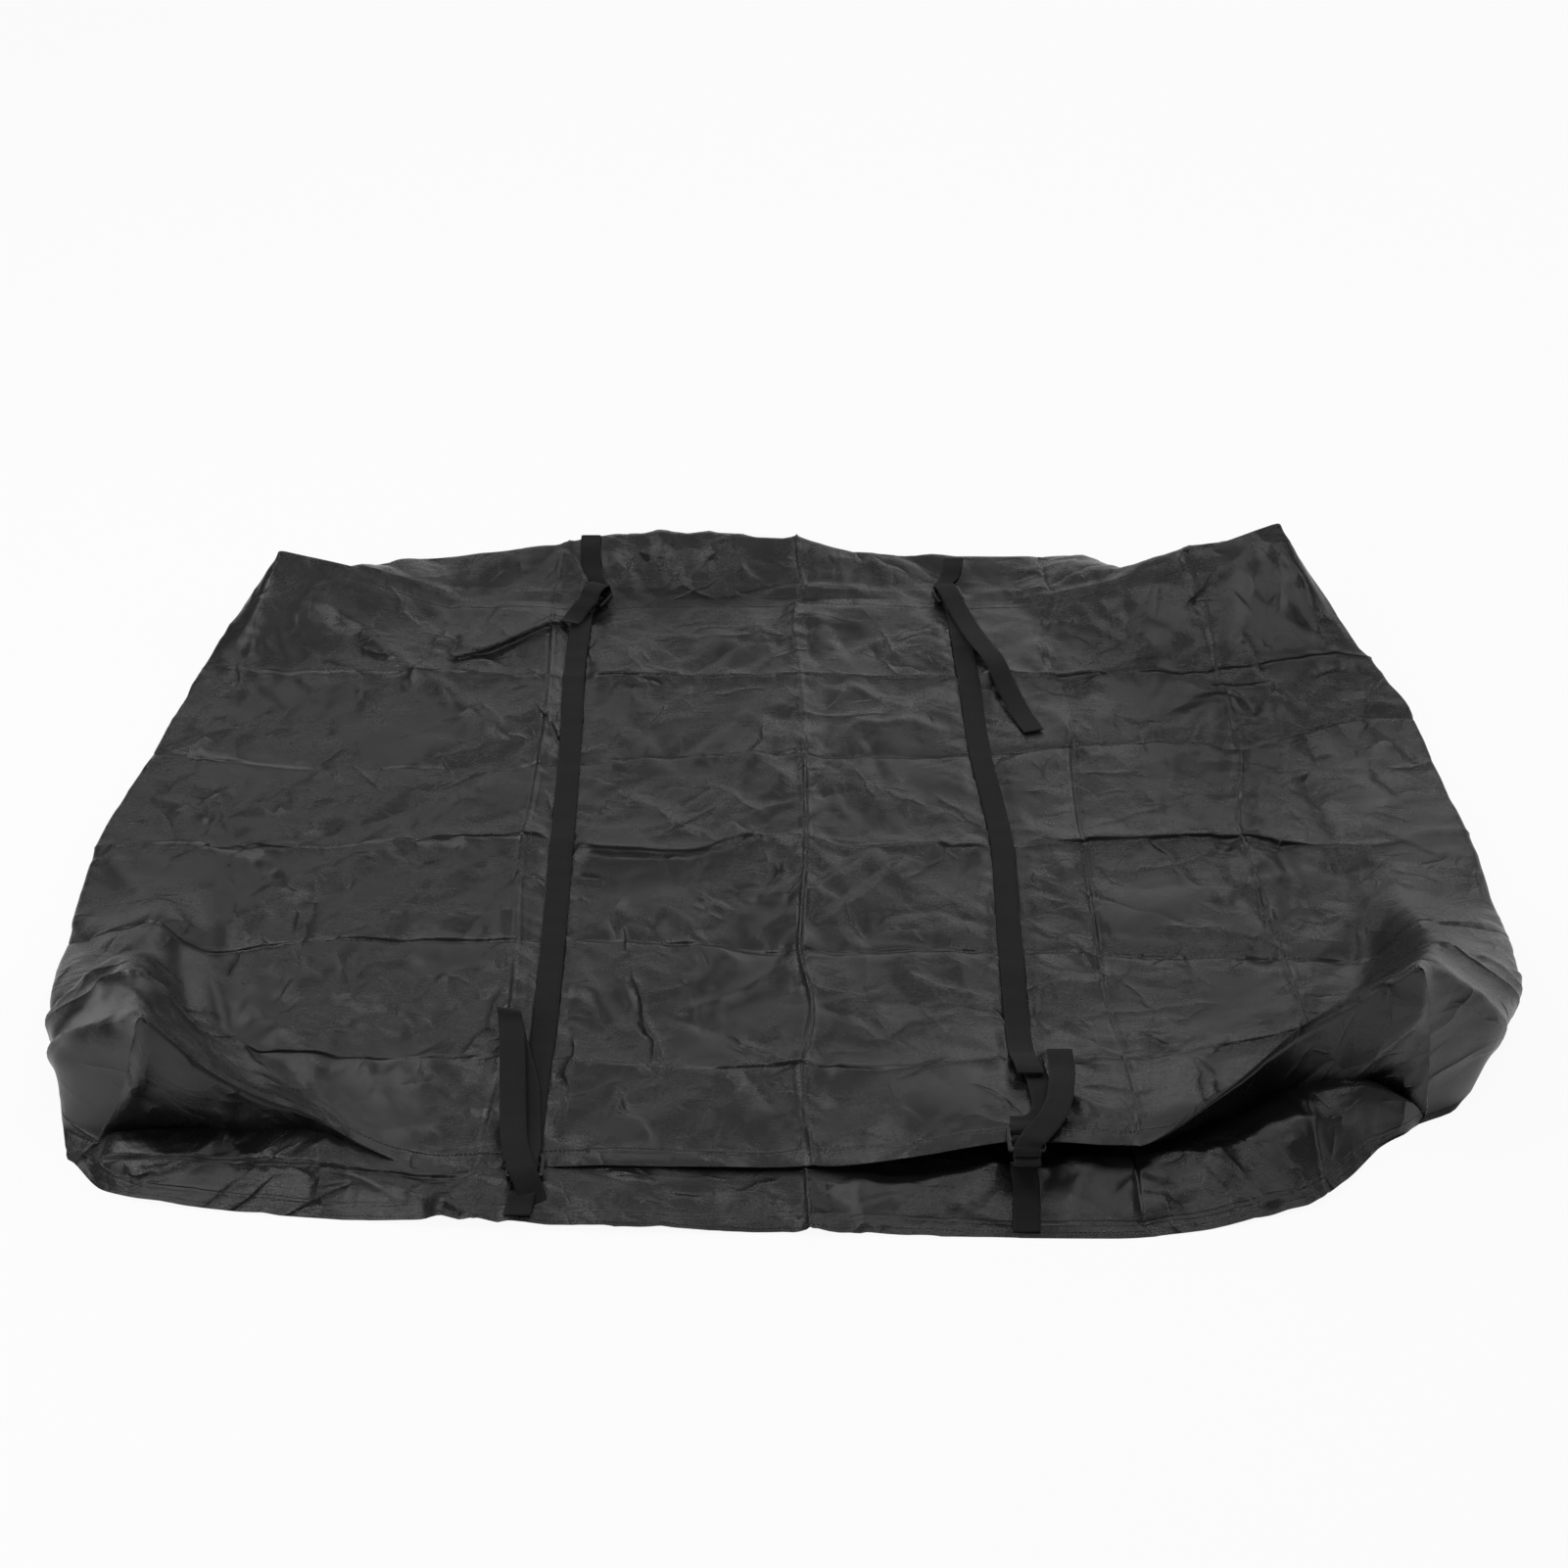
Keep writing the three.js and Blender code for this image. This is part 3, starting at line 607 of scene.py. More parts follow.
@dataclass(frozen=True)
class Fold:
    """A fold of its own, along a line of cloth places."""

    shape: Shape
    points: tuple[tuple[float, float], ...]
    height: float
    width: float
    far_width: float = 0.0
    lean: float = 1.1

    def field(self, u: Array, v: Array) -> tuple[Array, Array]:
        """How the fold moves the cloth.

        Args:
            u: Places across the cloth.
            v: Places along the cloth.

        Returns:
            The lift, and the shift to the front.
        """
        line = np.array(self.points, float)
        reach = 4 * max(self.width, self.far_width)
        low, high = line.min(0) - reach, line.max(0) + reach
        near = (u > low[0]) & (u < high[0]) & (v > low[1]) & (v < high[1])
        lift, shift = np.zeros_like(u), np.zeros_like(u)
        if not near.any():
            return lift, shift
        a, b = u[near], v[near]
        lengths = run_of(line)
        best = np.full(a.shape, 1e9)
        side, share = np.zeros_like(a), np.zeros_like(a)
        for k in range(len(line) - 1):
            step = line[k + 1] - line[k]
            size = max(np.linalg.norm(step), 1e-6)
            t = np.clip(((a - line[k, 0]) * step[0] + (b - line[k, 1]) * step[1]) / size**2, 0, 1)
            far = np.hypot(a - line[k, 0] - t * step[0], b - line[k, 1] - t * step[1])
            cross = (step[0] * (b - line[k, 1]) - step[1] * (a - line[k, 0])) / size
            closer = far < best
            best = np.where(closer, far, best)
            side = np.where(closer, np.sign(cross), side)
            share = np.where(closer, (lengths[k] + t * size) / lengths[-1], share)
        taper = np.sqrt(np.clip(4 * share * (1 - share), 0, 1))
        wide = np.where(side > 0, self.width, self.far_width or self.width)
        soft = np.sqrt(best**2 + 2.0) / wide
        if self.shape is Shape.PLEAT:
            behind = ramp(side * best, -3, 3) * np.exp(-np.maximum(side * best, 0) / self.width)
            lift[near] = self.height * np.sqrt(taper) * behind
            shift[near] = self.lean * self.height * np.sqrt(taper) * behind
        else:
            sign = -1 if self.shape is Shape.VALLEY else 1
            lift[near] = sign * self.height * taper * np.exp(-soft)
        return lift, shift


@dataclass(frozen=True)
class CreaseLine:
    """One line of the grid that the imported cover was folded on."""

    rest: float
    line: Profile
    height: float


@dataclass(frozen=True)
class Crumple:
    """How strongly one cloth is creased and crumpled."""

    seed: int
    across: tuple[CreaseLine, ...]
    along: tuple[CreaseLine, ...]
    folds: tuple[Fold, ...]
    short_creases: int
    raise_by: float = 0.0
    billow: float = 3.4
    facets: float = 3.6
    crease_reach: float = 13.0
    pinch: float = 2.3

    def crease(self, place: Array, other: Array, line: CreaseLine, seed: int) -> Array:
        """Height of one line of the packing grid, with the gathers beside it.

        Args:
            place: Places across the line.
            other: Places along it.
            line: The line.
            seed: Seed of its wander.

        Returns:
            The height.
        """
        strength = 0.8 + 0.5 * SoftNoise(seed + 1, 95)(other, 0 * other)
        off = place - line.line(other)
        far = np.abs(off)
        reach = self.crease_reach * (1 + 0.35 * SoftNoise(seed + 2, 120)(other, 0 * other))
        broad = 1.15 * line.height * strength * np.exp(-far / reach)
        sharp = math.copysign(self.pinch, line.height) * strength * np.exp(-((off / 1.7) ** 2))
        gathers = 0.9 * SoftNoise(seed + 3, 8)(other + 0.5 * off, 0.15 * off) * np.exp(-far / 16)
        return broad + sharp + gathers * np.abs(SoftNoise(seed + 4, 60)(other, 0 * other))

    def straws(self, u: Array, v: Array) -> Array:
        """Short straight creases scattered over the cloth, thicker by the packing grid.

        Args:
            u: Places across the cloth.
            v: Places along the cloth.

        Returns:
            The height.
        """
        rng = np.random.default_rng(self.seed + 50)
        total = np.zeros_like(u)
        low, high = (u.min(), v.min()), (u.max(), v.max())
        for k in range(self.short_creases):
            spot = rng.uniform(low, high)
            if k % 4 == 0 and self.across:
                spot[1] = self.across[rng.integers(len(self.across))].rest + rng.normal(0, 20)
            elif k % 4 == 1 and self.along:
                spot[0] = self.along[rng.integers(len(self.along))].rest + rng.normal(0, 24)
            angle = rng.uniform(0, math.pi)
            length = rng.uniform(40, 170)
            width, far_width = rng.uniform(5, 8), rng.uniform(9, 24)
            height = rng.uniform(1.2, 4.8) * (1 if rng.random() < 0.65 else -1)
            bend = rng.uniform(-0.14, 0.14)
            near = np.hypot(u - spot[0], v - spot[1]) < length / 2 + 3 * far_width
            if not near.any():
                continue
            a, b = u[near] - spot[0], v[near] - spot[1]
            run = a * math.cos(angle) + b * math.sin(angle)
            off = -a * math.sin(angle) + b * math.cos(angle) + bend * run**2 / length
            taper = np.clip(1 - (2 * run / length) ** 2, 0, 1)
            wide = np.where(off > 0, width, far_width)
            total[near] += height * taper * np.exp(-np.sqrt(off**2 + 0.5) / wide)
        return total

    def field(self, u: Array, v: Array, calm: Array | float = 1.0) -> tuple[Array, Array]:
        """How the cloth stands off its smooth form.

        Args:
            u: Places across the cloth.
            v: Places along the cloth.
            calm: Share of the crumples that is left, without the named folds.

        Returns:
            The lift, and the shift to the front.
        """
        lift = self.raise_by + self.billow * SoftNoise(self.seed, 150)(u, v)
        lift += 0.45 * self.billow * SoftNoise(self.seed + 1, 62)(u, v)
        busy = np.clip(0.55 + 0.75 * SoftNoise(self.seed + 2, 130)(u, v), 0.12, 1.2)
        lift += self.facets * FacetNoise(self.seed + 3, 120, 0.9, 1.7)(u, v)
        lift += 0.6 * self.facets * busy * FacetNoise(self.seed + 6, 60, -0.9, 2.0)(u, v)
        lift += 0.25 * self.facets * busy * FacetNoise(self.seed + 9, 36, 1.3, 2.0)(u, v)
        lift += (0.35 + 0.65 * busy) * self.straws(u, v)
        for k, line in enumerate(self.across):
            lift += self.crease(v, u, line, self.seed + 100 + 7 * k)
        for k, line in enumerate(self.along):
            lift += self.crease(u, v, line, self.seed + 200 + 7 * k)
        lift = lift * calm
        shift = np.zeros_like(u)
        for fold in self.folds:
            up, forward = fold.field(u, v)
            lift += up
            shift += forward
        return lift, shift


STRAP_LEFT = Profile(
    (-480, -240), (-400, -240), (-283, -238), (-22, -242), (192, -247), (341, -252), (480, -250),
)
STRAP_RIGHT = Profile(
    (-354, 231), (-281, 232), (-138, 235), (-21, 238), (173, 224), (264, 222), (341, 219), (480, 214),
)

ACROSS_CREASES = (
    CreaseLine(-352, Profile(
        (-432, -356), (-296, -340), (-120, -352), (-44, -360), (16, -356), (160, -364), (600, -350),
    ), 3.2),
    CreaseLine(
        -182,
        Profile(
            (-608, -192), (-492, -172), (-232, -168), (-112, -172), (16, -188), (160, -188),
            (472, -196), (640, -202),
        ),
        -3.8,
    ),
    CreaseLine(
        -12,
        Profile(
            (-744, -20), (-660, -12), (-596, -24), (-508, -16), (-268, -4), (-212, -22), (-96, -24),
            (-36, 0), (8, -4),
            (92, -16), (264, -16), (380, 0), (500, 0), (632, -24), (712, 4),
        ),
        4.2,
    ),
    CreaseLine(
        150,
        Profile(
            (-724, 152), (-624, 140), (-540, 128), (-280, 132), (-104, 148), (20, 144), (212, 152),
            (320, 164),
            (408, 176), (528, 168), (576, 190), (680, 214), (732, 216),
        ),
        -3.6,
    ),
    CreaseLine(307, Profile((-740, 324), (-632, 308), (-296, 304), (20, 308), (640, 318)), 3.0),
)
ALONG_CREASES = (
    CreaseLine(-279, Profile((-480, -284), (-276, -272), (-48, -284), (200, -278), (480, -288)), 2.4),
    CreaseLine(
        20,
        Profile(
            (-480, 28), (-356, 16), (-280, 28), (-188, 16), (-104, 20), (4, 24), (144, 24), (312, 20),
            (416, 12), (480, 20)
        ),
        5.6,
    ),
    CreaseLine(
        328, Profile(
            (-464, 328), (-412, 332), (-204, 324), (96, 328), (248, 336), (396, 316), (472, 344),
        ), -3.0
    ),
    CreaseLine(508, Profile((-480, 520), (-200, 512), (8, 500), (168, 524), (480, 516)), 2.2),
)
WIDE_FOLDS = (
    Fold(Shape.PLEAT, ((-228, -12), (-212, -30), (-150, -32), (-96, -31), (-60, -20), (-34, 2)), 2.3, 24),
    Fold(Shape.PLEAT, ((-410, 352), (-396, 344), (-340, 380), (-292, 412), (-262, 424)), 10.0, 40),
    Fold(Shape.PLEAT, ((262, -14), (380, -4), (500, -2), (634, -24)), 3.2, 22),
    Fold(Shape.RIDGE, (
        (-592, 428), (-520, 388), (-480, 340), (-420, 284), (-368, 228), (-308, 172),
    ), 13.0, 46, 15),
    Fold(Shape.RIDGE, ((-640, 468), (-622, 400), (-600, 328)), 4.5, 8, 20),
    Fold(Shape.VALLEY, ((-420, 474), (-404, 430), (-392, 388)), 5.0, 10, 16),
    Fold(Shape.VALLEY, ((-380, 460), (-392, 388)), 4.0, 10, 16),
    Fold(Shape.RIDGE, ((-732, -32), (-690, -90), (-620, -180)), 7.0, 14, 30),
    Fold(Shape.VALLEY, ((-622, -176), (-606, -252), (-572, -372)), 7.0, 9, 20),
    Fold(Shape.RIDGE, ((-600, -178), (-588, -252), (-552, -366)), 5.0, 8, 18),
    Fold(Shape.RIDGE, ((-828, -408), (-728, -340), (-628, -268)), 10.0, 10, 20),
    Fold(Shape.VALLEY, ((-808, -380), (-712, -318), (-632, -236)), 8.0, 10, 20),
    Fold(Shape.RIDGE, ((-828, -412), (-732, -428), (-680, -452)), 9.0, 9, 16),
    Fold(Shape.VALLEY, ((-800, -438), (-740, -390), (-676, -360)), 7.0, 9, 18),
    Fold(Shape.VALLEY, ((-740, -156), (-700, -210), (-656, -264)), 5.0, 9, 18),
    Fold(Shape.RIDGE, ((-108, -276), (-32, -240), (16, -188)), 6.0, 6, 16),
    Fold(Shape.RIDGE, ((-32, -160), (34, -90), (100, -20)), 6.0, 6, 16),
    Fold(Shape.VALLEY, ((-18, -178), (50, -106), (118, -38)), 4.0, 6, 12),
    Fold(Shape.RIDGE, ((-60, 14), (-20, 44), (18, 62)), 4.5, 6, 14),
    Fold(Shape.RIDGE, ((-18, 108), (4, 82), (22, 64)), 4.5, 6, 14),
    Fold(Shape.RIDGE, ((70, 300), (110, 262), (150, 238)), 5.0, 7, 16),
    Fold(Shape.RIDGE, ((60, 226), (110, 206), (150, 214), (190, 196)), 4.5, 7, 18),
    Fold(Shape.RIDGE, ((424, 104), (412, 8)), 4.0, 6, 16),
    Fold(Shape.VALLEY, ((560, -46), (600, -58), (640, -56)), 3.5, 7, 12),
    Fold(Shape.RIDGE, ((612, -206), (680, -196), (736, -180)), 5.0, 9, 20),
    Fold(Shape.RIDGE, ((736, -180), (716, -236), (688, -300)), 4.0, 9, 18),
    Fold(Shape.RIDGE, ((636, 478), (590, 430), (548, 352), (520, 300)), 8.0, 40, 16),
    Fold(Shape.VALLEY, ((640, 462), (612, 410), (592, 350)), 5.0, 12, 24),
    Fold(Shape.RIDGE, ((620, 476), (560, 446), (486, 414)), 5.0, 12, 26),
    Fold(Shape.RIDGE, ((434, 476), (426, 420), (424, 372)), 3.6, 7, 14),
    Fold(Shape.RIDGE, ((412, 180), (470, 232), (536, 280)), 4.0, 9, 22),
    Fold(Shape.RIDGE, ((536, 280), (542, 208)), 3.0, 7, 16),
    Fold(Shape.RIDGE, ((720, 308), (684, 258), (676, 216)), 3.4, 8, 16),
    Fold(Shape.RIDGE, ((-404, 474), (-378, 398)), 5.0, 6, 14),
    Fold(Shape.VALLEY, ((-360, 474), (-378, 398)), 5.0, 6, 14),
    Fold(Shape.VALLEY, ((468, 312), (516, 276), (564, 248)), 4.0, 8, 18),
    Fold(Shape.RIDGE, ((656, -456), (726, -440), (788, -424), (844, -408)), 6.0, 10, 24),
    Fold(Shape.VALLEY, ((690, -462), (760, -458), (812, -462)), 4.0, 9, 18),
    Fold(Shape.RIDGE, ((688, -292), (720, -292), (752, -286)), 3.4, 8, 14),
    Fold(Shape.RIDGE, ((688, -292), (728, -312), (768, -338)), 3.4, 8, 14),
)
WIDE_CRUMPLE = Crumple(
    seed=11, across=ACROSS_CREASES, along=ALONG_CREASES, folds=WIDE_FOLDS, short_creases=820, raise_by=3.5
)
FRONT_CRUMPLE = Crumple(
    seed=31, across=(), along=ALONG_CREASES, folds=(), short_creases=300, raise_by=1.5,
    billow=2.2, facets=3.0,
)
BACK_CRUMPLE = Crumple(
    seed=47, across=(), along=ALONG_CREASES, folds=(), short_creases=300, raise_by=1.5,
    billow=2.6, facets=4.0,
)
STRIP_FOLDS = (
    Fold(
        Shape.RIDGE,
        (
            (560, -452), (452, -452), (410, -474), (326, -476), (270, -478), (181, -493), (110, -508),
            (20, -500),
        ),
        15.0, 30, 24,
    ),
    Fold(Shape.PLEAT, (
        (-400, -446), (-459, -436), (-519, -438), (-584, -446), (-640, -452),
    ), 10.0, 15, lean=-0.9),
    Fold(Shape.PLEAT, (
        (-640, -474), (-567, -475), (-497, -481), (-410, -487), (-300, -494),
    ), 5.0, 26, lean=0.9),
    Fold(Shape.RIDGE, ((-497, -490), (-513, -468), (-531, -440)), 6.0, 6, 12),
    Fold(Shape.RIDGE, ((-482, -490), (-479, -465), (-473, -440)), 5.0, 5, 9),
    Fold(Shape.RIDGE, ((-470, -487), (-461, -463), (-450, -440)), 5.0, 5, 9),
    Fold(Shape.RIDGE, ((-446, -491), (-436, -470), (-420, -450)), 6.0, 6, 12),
    Fold(Shape.VALLEY, ((-628, -443), (-600, -449), (-576, -456), (-567, -474)), 4.0, 6, 10),
    Fold(Shape.RIDGE, ((430, -462), (470, -470), (540, -440)), 6.0, 9, 18),
    Fold(Shape.RIDGE, ((391, -476), (430, -500), (452, -530)), 5.0, 8, 16),
    Fold(Shape.VALLEY, ((430, -470), (480, -466), (550, -446), (596, -428)), 4.0, 7, 12),
    Fold(Shape.RIDGE, ((200, -495), (180, -520), (150, -545)), 4.5, 7, 14),
    Fold(Shape.RIDGE, ((290, -480), (270, -512), (262, -545)), 4.0, 6, 12),
    Fold(Shape.RIDGE, ((-150, -500), (-170, -525), (-160, -545)), 3.5, 6, 12),
    Fold(Shape.RIDGE, ((-60, -500), (-30, -520), (-50, -548)), 3.5, 6, 12),
)
HANG_FOLDS = (
    Fold(Shape.RIDGE, ((602, 190), (574, 124), (532, 52), (478, 14)), 15.0, 16, 34),
    Fold(Shape.RIDGE, ((556, 60), (536, 34), (530, 8)), 6.0, 8, 16),
    Fold(Shape.VALLEY, ((588, 120), (580, 70), (576, 20)), 6.0, 10, 16),
    Fold(Shape.RIDGE, ((-574, 168), (-577, 128), (-598, 78), (-634, 40)), 9.0, 9, 16),
    Fold(Shape.RIDGE, ((-540, 110), (-548, 60), (-560, 14)), 6.0, 12, 22),
    Fold(Shape.VALLEY, ((-500, 60), (-512, 30), (-520, 8)), 5.0, 10, 18),
)


@dataclass(frozen=True)
class Placement:
    """Where the cover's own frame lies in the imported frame, in mm."""

    x: float
    y: float

    def metres(self, points: Array) -> Array:
        """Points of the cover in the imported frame.

        Args:
            points: Points in the cover's own frame, in mm.

        Returns:
            The points in metres.
        """
        return (points + [self.x, self.y, 0]) * MM


class PieceMaker:
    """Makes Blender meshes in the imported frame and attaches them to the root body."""

    def __init__(self, placement: Placement) -> None:
        """Keep the placement.

        Args:
            placement: Where the cover lies.
        """
        self.placement = placement

    def mesh(self, name: str, points: Array, faces: Array, marks: Array | None) -> bpy.types.Object:
        """Make a smooth mesh object.

        Args:
            name: Name of the piece.
            points: Its points, in mm.
            faces: Its four-sided faces.
            marks: A cloth place for each point, in mm, or none.

        Returns:
            The new object.
        """
        data = bpy.data.meshes.new(name)
        data.from_pydata(self.placement.metres(points).tolist(), [], faces.tolist())
        data.update()
        data.shade_smooth()
        if marks is not None:
            layer = data.attributes.new("place", "FLOAT_VECTOR", "POINT")
            layer.data.foreach_set("vector", np.asarray(marks, np.float32).ravel())
        obj = bpy.data.objects.new(name, data)
        bpy.context.scene.collection.objects.link(obj)
        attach(obj, "root")
        return obj

    def sheet(self, name: str, grid: Array, marks: Array) -> bpy.types.Object:
        """Make a sheet through a grid of points.

        Args:
            name: Name of the piece.
            grid: Its points, in rows.
            marks: Cloth places, in the same rows.

        Returns:
            The new object.
        """
        rows, cols = grid.shape[:2]
        i, j = np.meshgrid(np.arange(rows - 1), np.arange(cols - 1), indexing="ij")
        a = (i * cols + j).ravel()
        faces = np.stack([a, a + 1, a + cols + 1, a + cols], -1)
        return self.mesh(name, grid.reshape(-1, 3), faces, marks.reshape(-1, 3))

    def ribbon(
        self, name: str, centre: Array, across: Array, width: float, thickness: float
    ) -> bpy.types.Object:
        """Make a closed band with rounded edges along a line.

        Args:
            name: Name of the piece.
            centre: Points down its middle.
            across: Unit directions across it.
            width: Its width.
            thickness: Its thickness.

        Returns:
            The new object.
        """
        lanes = np.linspace(-1, 1, 9)
        edge = np.sqrt(np.clip(1 - np.abs(lanes) ** 14, 0.12, 1))
        ring = [(x, e) for x, e in zip(lanes, edge)] + [(x, -e) for x, e in zip(lanes[::-1], edge[::-1])]
        along = np.gradient(centre, axis=0)
        normal = unit(np.cross(across, along))
        run = run_of(centre)
        points, marks = [], []
        for x, e in ring:
            points.append(centre + across * (x * width / 2) + normal * (e * thickness / 2))
            marks.append(np.stack([0 * run + x * width / 2, run, 0 * run + np.sign(e)], -1))
        count, size = len(ring), len(centre)
        points = np.stack(points, 1).reshape(-1, 3)
        marks = np.stack(marks, 1).reshape(-1, 3)
        faces = []
        for i in range(size - 1):
            for k in range(count):
                a, b = i * count + k, i * count + (k + 1) % count
                faces.append((a, b, b + count, a + count))
        half = count // 2
        for base, flip in ((0, False), ((size - 1) * count, True)):
            for k in range(half - 1):
                face = (base + k, base + k + 1, base + count - 2 - k, base + count - 1 - k)
                faces.append(face[::-1] if not flip else face)
        return self.mesh(name, points, np.array(faces), marks)


class Surface:
    """Reads heights off a cloth that is already laid."""

    def __init__(self, points: Array) -> None:
        """Keep the points.

        Args:
            points: The cloth's points.
        """
        self.points = points.reshape(-1, 3)

    def height(self, x: float, y: float, reach: float = 8.0) -> float:
        """Highest point of the cloth near a place.

        Args:
            x: Place to the right.
            y: Place to the back.
            reach: How far round the place to look.

        Returns:
            The height.
        """
        far = np.hypot(self.points[:, 0] - x, self.points[:, 1] - y)
        near = far < max(reach, far.min() + 2)
        return float(self.points[near, 2].max())


def brow(x: Array | float, y: Array | float) -> Array | float:
    """How far the top's front edge stands over the hollow in front of it.

    Args:
        x: Places to the right.
        y: Places to the back.

    Returns:
        The rise.
    """
    return BROW(x) * ramp(-np.asarray(y, float), BROW_FROM, BROW_FULL)


@dataclass(frozen=True)
class CoverCloths:
    """The three laid cloths as grids of points and cloth places.

    The plain one is the wide cloth with its front edge down, for the straps to lie on.
    """

    wide: Array
    wide_marks: Array
    front: Array
    front_marks: Array
    back: Array
    back_marks: Array
    plain: Array


def spaced(low: float, high: float, step: float, lines: Sequence[float]) -> Array:
    """Places between two ends, closer together by the packing creases.

    Args:
        low: First place.
        high: Last place.
        step: Usual distance between two places.
        lines: Places of the creases.

    Returns:
        The places.
    """
    fine, reach = 1.5, 6.0
    places = [low]
    while places[-1] < high - 0.6 * step:
        close = min(abs(places[-1] + fine - line) for line in lines) < reach
        places.append(places[-1] + (fine if close else step))
    places[-1] = high
    return np.array(places)


class ClothLayer:
    """Lays the three cloths: smooth form first, then creases and crumples."""

    wall_parts = (6, 7, 8, 8, 6, 1, 5, 5)
    seen_parts = 35
    hidden_parts = 11

    def __init__(self, form: CoverForm) -> None:
        """Keep the form and space out its rows and columns.

        Args:
            form: The cover's smooth form.
        """
        self.form = form
        self.columns = spaced(-HALF_WIDTH, HALF_WIDTH, 4.8, [line.rest for line in ALONG_CREASES])
        self.rows = spaced(-HALF_DEPTH, HALF_DEPTH, 4.6, [line.rest for line in ACROSS_CREASES])

    def creased_grid(self) -> tuple[Array, Array]:
        """Cloth places of the top, in rows and columns that follow the packing creases.

        Returns:
            The places across and along, in rows.
        """
        u, v = np.meshgrid(self.columns, self.rows)
        rests = [-HALF_WIDTH, *[line.rest for line in ALONG_CREASES], HALF_WIDTH]
        for k, depth in enumerate(self.rows):
            lines = [-HALF_WIDTH, *[float(line.line(depth)) for line in ALONG_CREASES], HALF_WIDTH]
            u[k] = np.interp(self.columns, rests, lines)
        rests = [-HALF_DEPTH, *[line.rest for line in ACROSS_CREASES], HALF_DEPTH]
        for k, width in enumerate(self.columns):
            lines = [-HALF_DEPTH, *[float(line.line(width)) for line in ACROSS_CREASES], HALF_DEPTH]
            v[:, k] = np.interp(self.rows, rests, lines)
        return u, v

    def straps_calm(self, u: Array, v: Array) -> Array:
        """How freely the cloth may crumple: little under the webbing and by the buckles.

        Args:
            u: Places across the cloth.
            v: Places along the cloth.

        Returns:
            A share from 0 to 1.
        """
        calm = np.ones_like(u)
        for line in (STRAP_LEFT, STRAP_RIGHT):
            calm *= 0.35 + 0.65 * ramp(np.abs(u - line(v)), 12, 26)
        for spot in BUCKLES.values():
            far = np.hypot(u - spot.place[0], v - spot.end * (HALF_DEPTH - 8))
            calm *= 0.1 + 0.9 * ramp(far, 26, 70)
        return calm

    def puckers(self, u: Array, v: Array) -> Array:
        """Small gathers beside the sewn webbing.

        Args:
            u: Places across the cloth.
            v: Places along the cloth.

        Returns:
            The height.
        """
        total = np.zeros_like(u)
        for k, line in enumerate((STRAP_LEFT, STRAP_RIGHT)):
            for side in (-1, 1):
                off = side * (u - line(v)) - 13
                lean = v + side * 0.55 * off
                turn = 10 * k + side
                wave = SoftNoise(PUCKER_SEED + turn, 9)(lean, 0 * v)
                strength = 0.35 + 0.65 * np.abs(SoftNoise(PUCKER_SHARE_SEED + turn, 60)(v, 0 * v))
                total += 2.4 * wave * strength * np.where(off > 0, np.exp(-np.abs(off) / 20), 0)
        return total

    def lay_wide(self) -> tuple[Array, Array]:
        """Lay the top and both side walls.

        Returns:
            The grid of points and their cloth places.
        """
        us, vs = self.creased_grid()
        top = self.form.top(us, vs)
        ends = {-1: vs[:, 0], 1: vs[:, -1]}
        walls = {k: divide(self.form.side(k, ends[k]), self.wall_parts)[:, 1:] for k in (-1, 1)}
        grid = relax(np.concatenate([walls[-1][:, ::-1], top, walls[1]], 1), 1, 4)
        arc = run_of(grid)
        first = walls[-1].shape[1]
        last = first + us.shape[1] - 1
        u = arc - arc[:, first : first + 1] - HALF_WIDTH
        u[:, last:] = arc[:, last:] - arc[:, last : last + 1] + HALF_WIDTH
        u[:, first : last + 1] = us
        v = np.concatenate(
            [np.repeat(vs[:, :1], first, 1), vs, np.repeat(vs[:, -1:], grid.shape[1] - last - 1, 1)], 1
        )
        wall_calm = 1 - 0.6 * ramp(np.abs(u), HALF_WIDTH + 10, HALF_WIDTH + 80)
        lift, shift = WIDE_CRUMPLE.field(u, v, wall_calm)
        seen = np.ones(grid.shape[1])
        seen[: self.hidden_parts] = 0
        seen[self.hidden_parts : self.hidden_parts + FADE_PARTS] = np.linspace(0, 1, FADE_PARTS)
        seen = np.minimum(seen, seen[::-1])
        edge = 0.3 + 0.7 * ramp(HALF_DEPTH - np.abs(v), 2, 30)
        lift = (lift * self.straps_calm(u, v) + self.puckers(u, v)) * seen * edge
        normal = normals_of(grid)
        normal *= np.sign(normal[:, first:last, 2].mean())
        laid = grid + normal * lift[..., None]
        laid[..., 1] -= shift
        floor = np.where(np.abs(u) < HALF_WIDTH - 20, TOP_LAYER, LOW_LAYER)
        laid[..., 2] = floor + np.logaddexp(0, (laid[..., 2] - floor) * 1.5) / 1.5
        laid[:, seen == 0] = grid[:, seen == 0]
        band = HALF_DEPTH + v + 40 * ramp(np.abs(u), HALF_WIDTH - 60, HALF_WIDTH)
        return laid, np.stack([u, v, band], -1)

    def fold_front(self, grid: Array, place: Array, hang: int, calm: Array) -> None:
        """Add the large folds of the front wall and of its strip.

        Args:
            grid: The wall's points, which are moved.
            place: Their places along the seam.
            hang: Number of the column where the strip begins.
            calm: How freely each point may move.
        """
        hung = np.arange(grid.shape[1]) < hang
        for fold in HANG_FOLDS:
            up, _ = fold.field(grid[..., 0], grid[..., 2])
            grid[..., 1] -= up * hung * calm
        free = ~hung * np.clip((grid.shape[1] - 1 - np.arange(grid.shape[1])) / 6, 0, 1)
        free = free * (0.35 + 0.65 * ramp(np.abs(place - STRAP_RIGHT(-HALF_DEPTH)), 12, 40)) * calm
        for fold in STRIP_FOLDS:
            up, forward = fold.field(grid[..., 0], grid[..., 1])
            grid[..., 2] += up * free
            grid[..., 1] -= forward * free

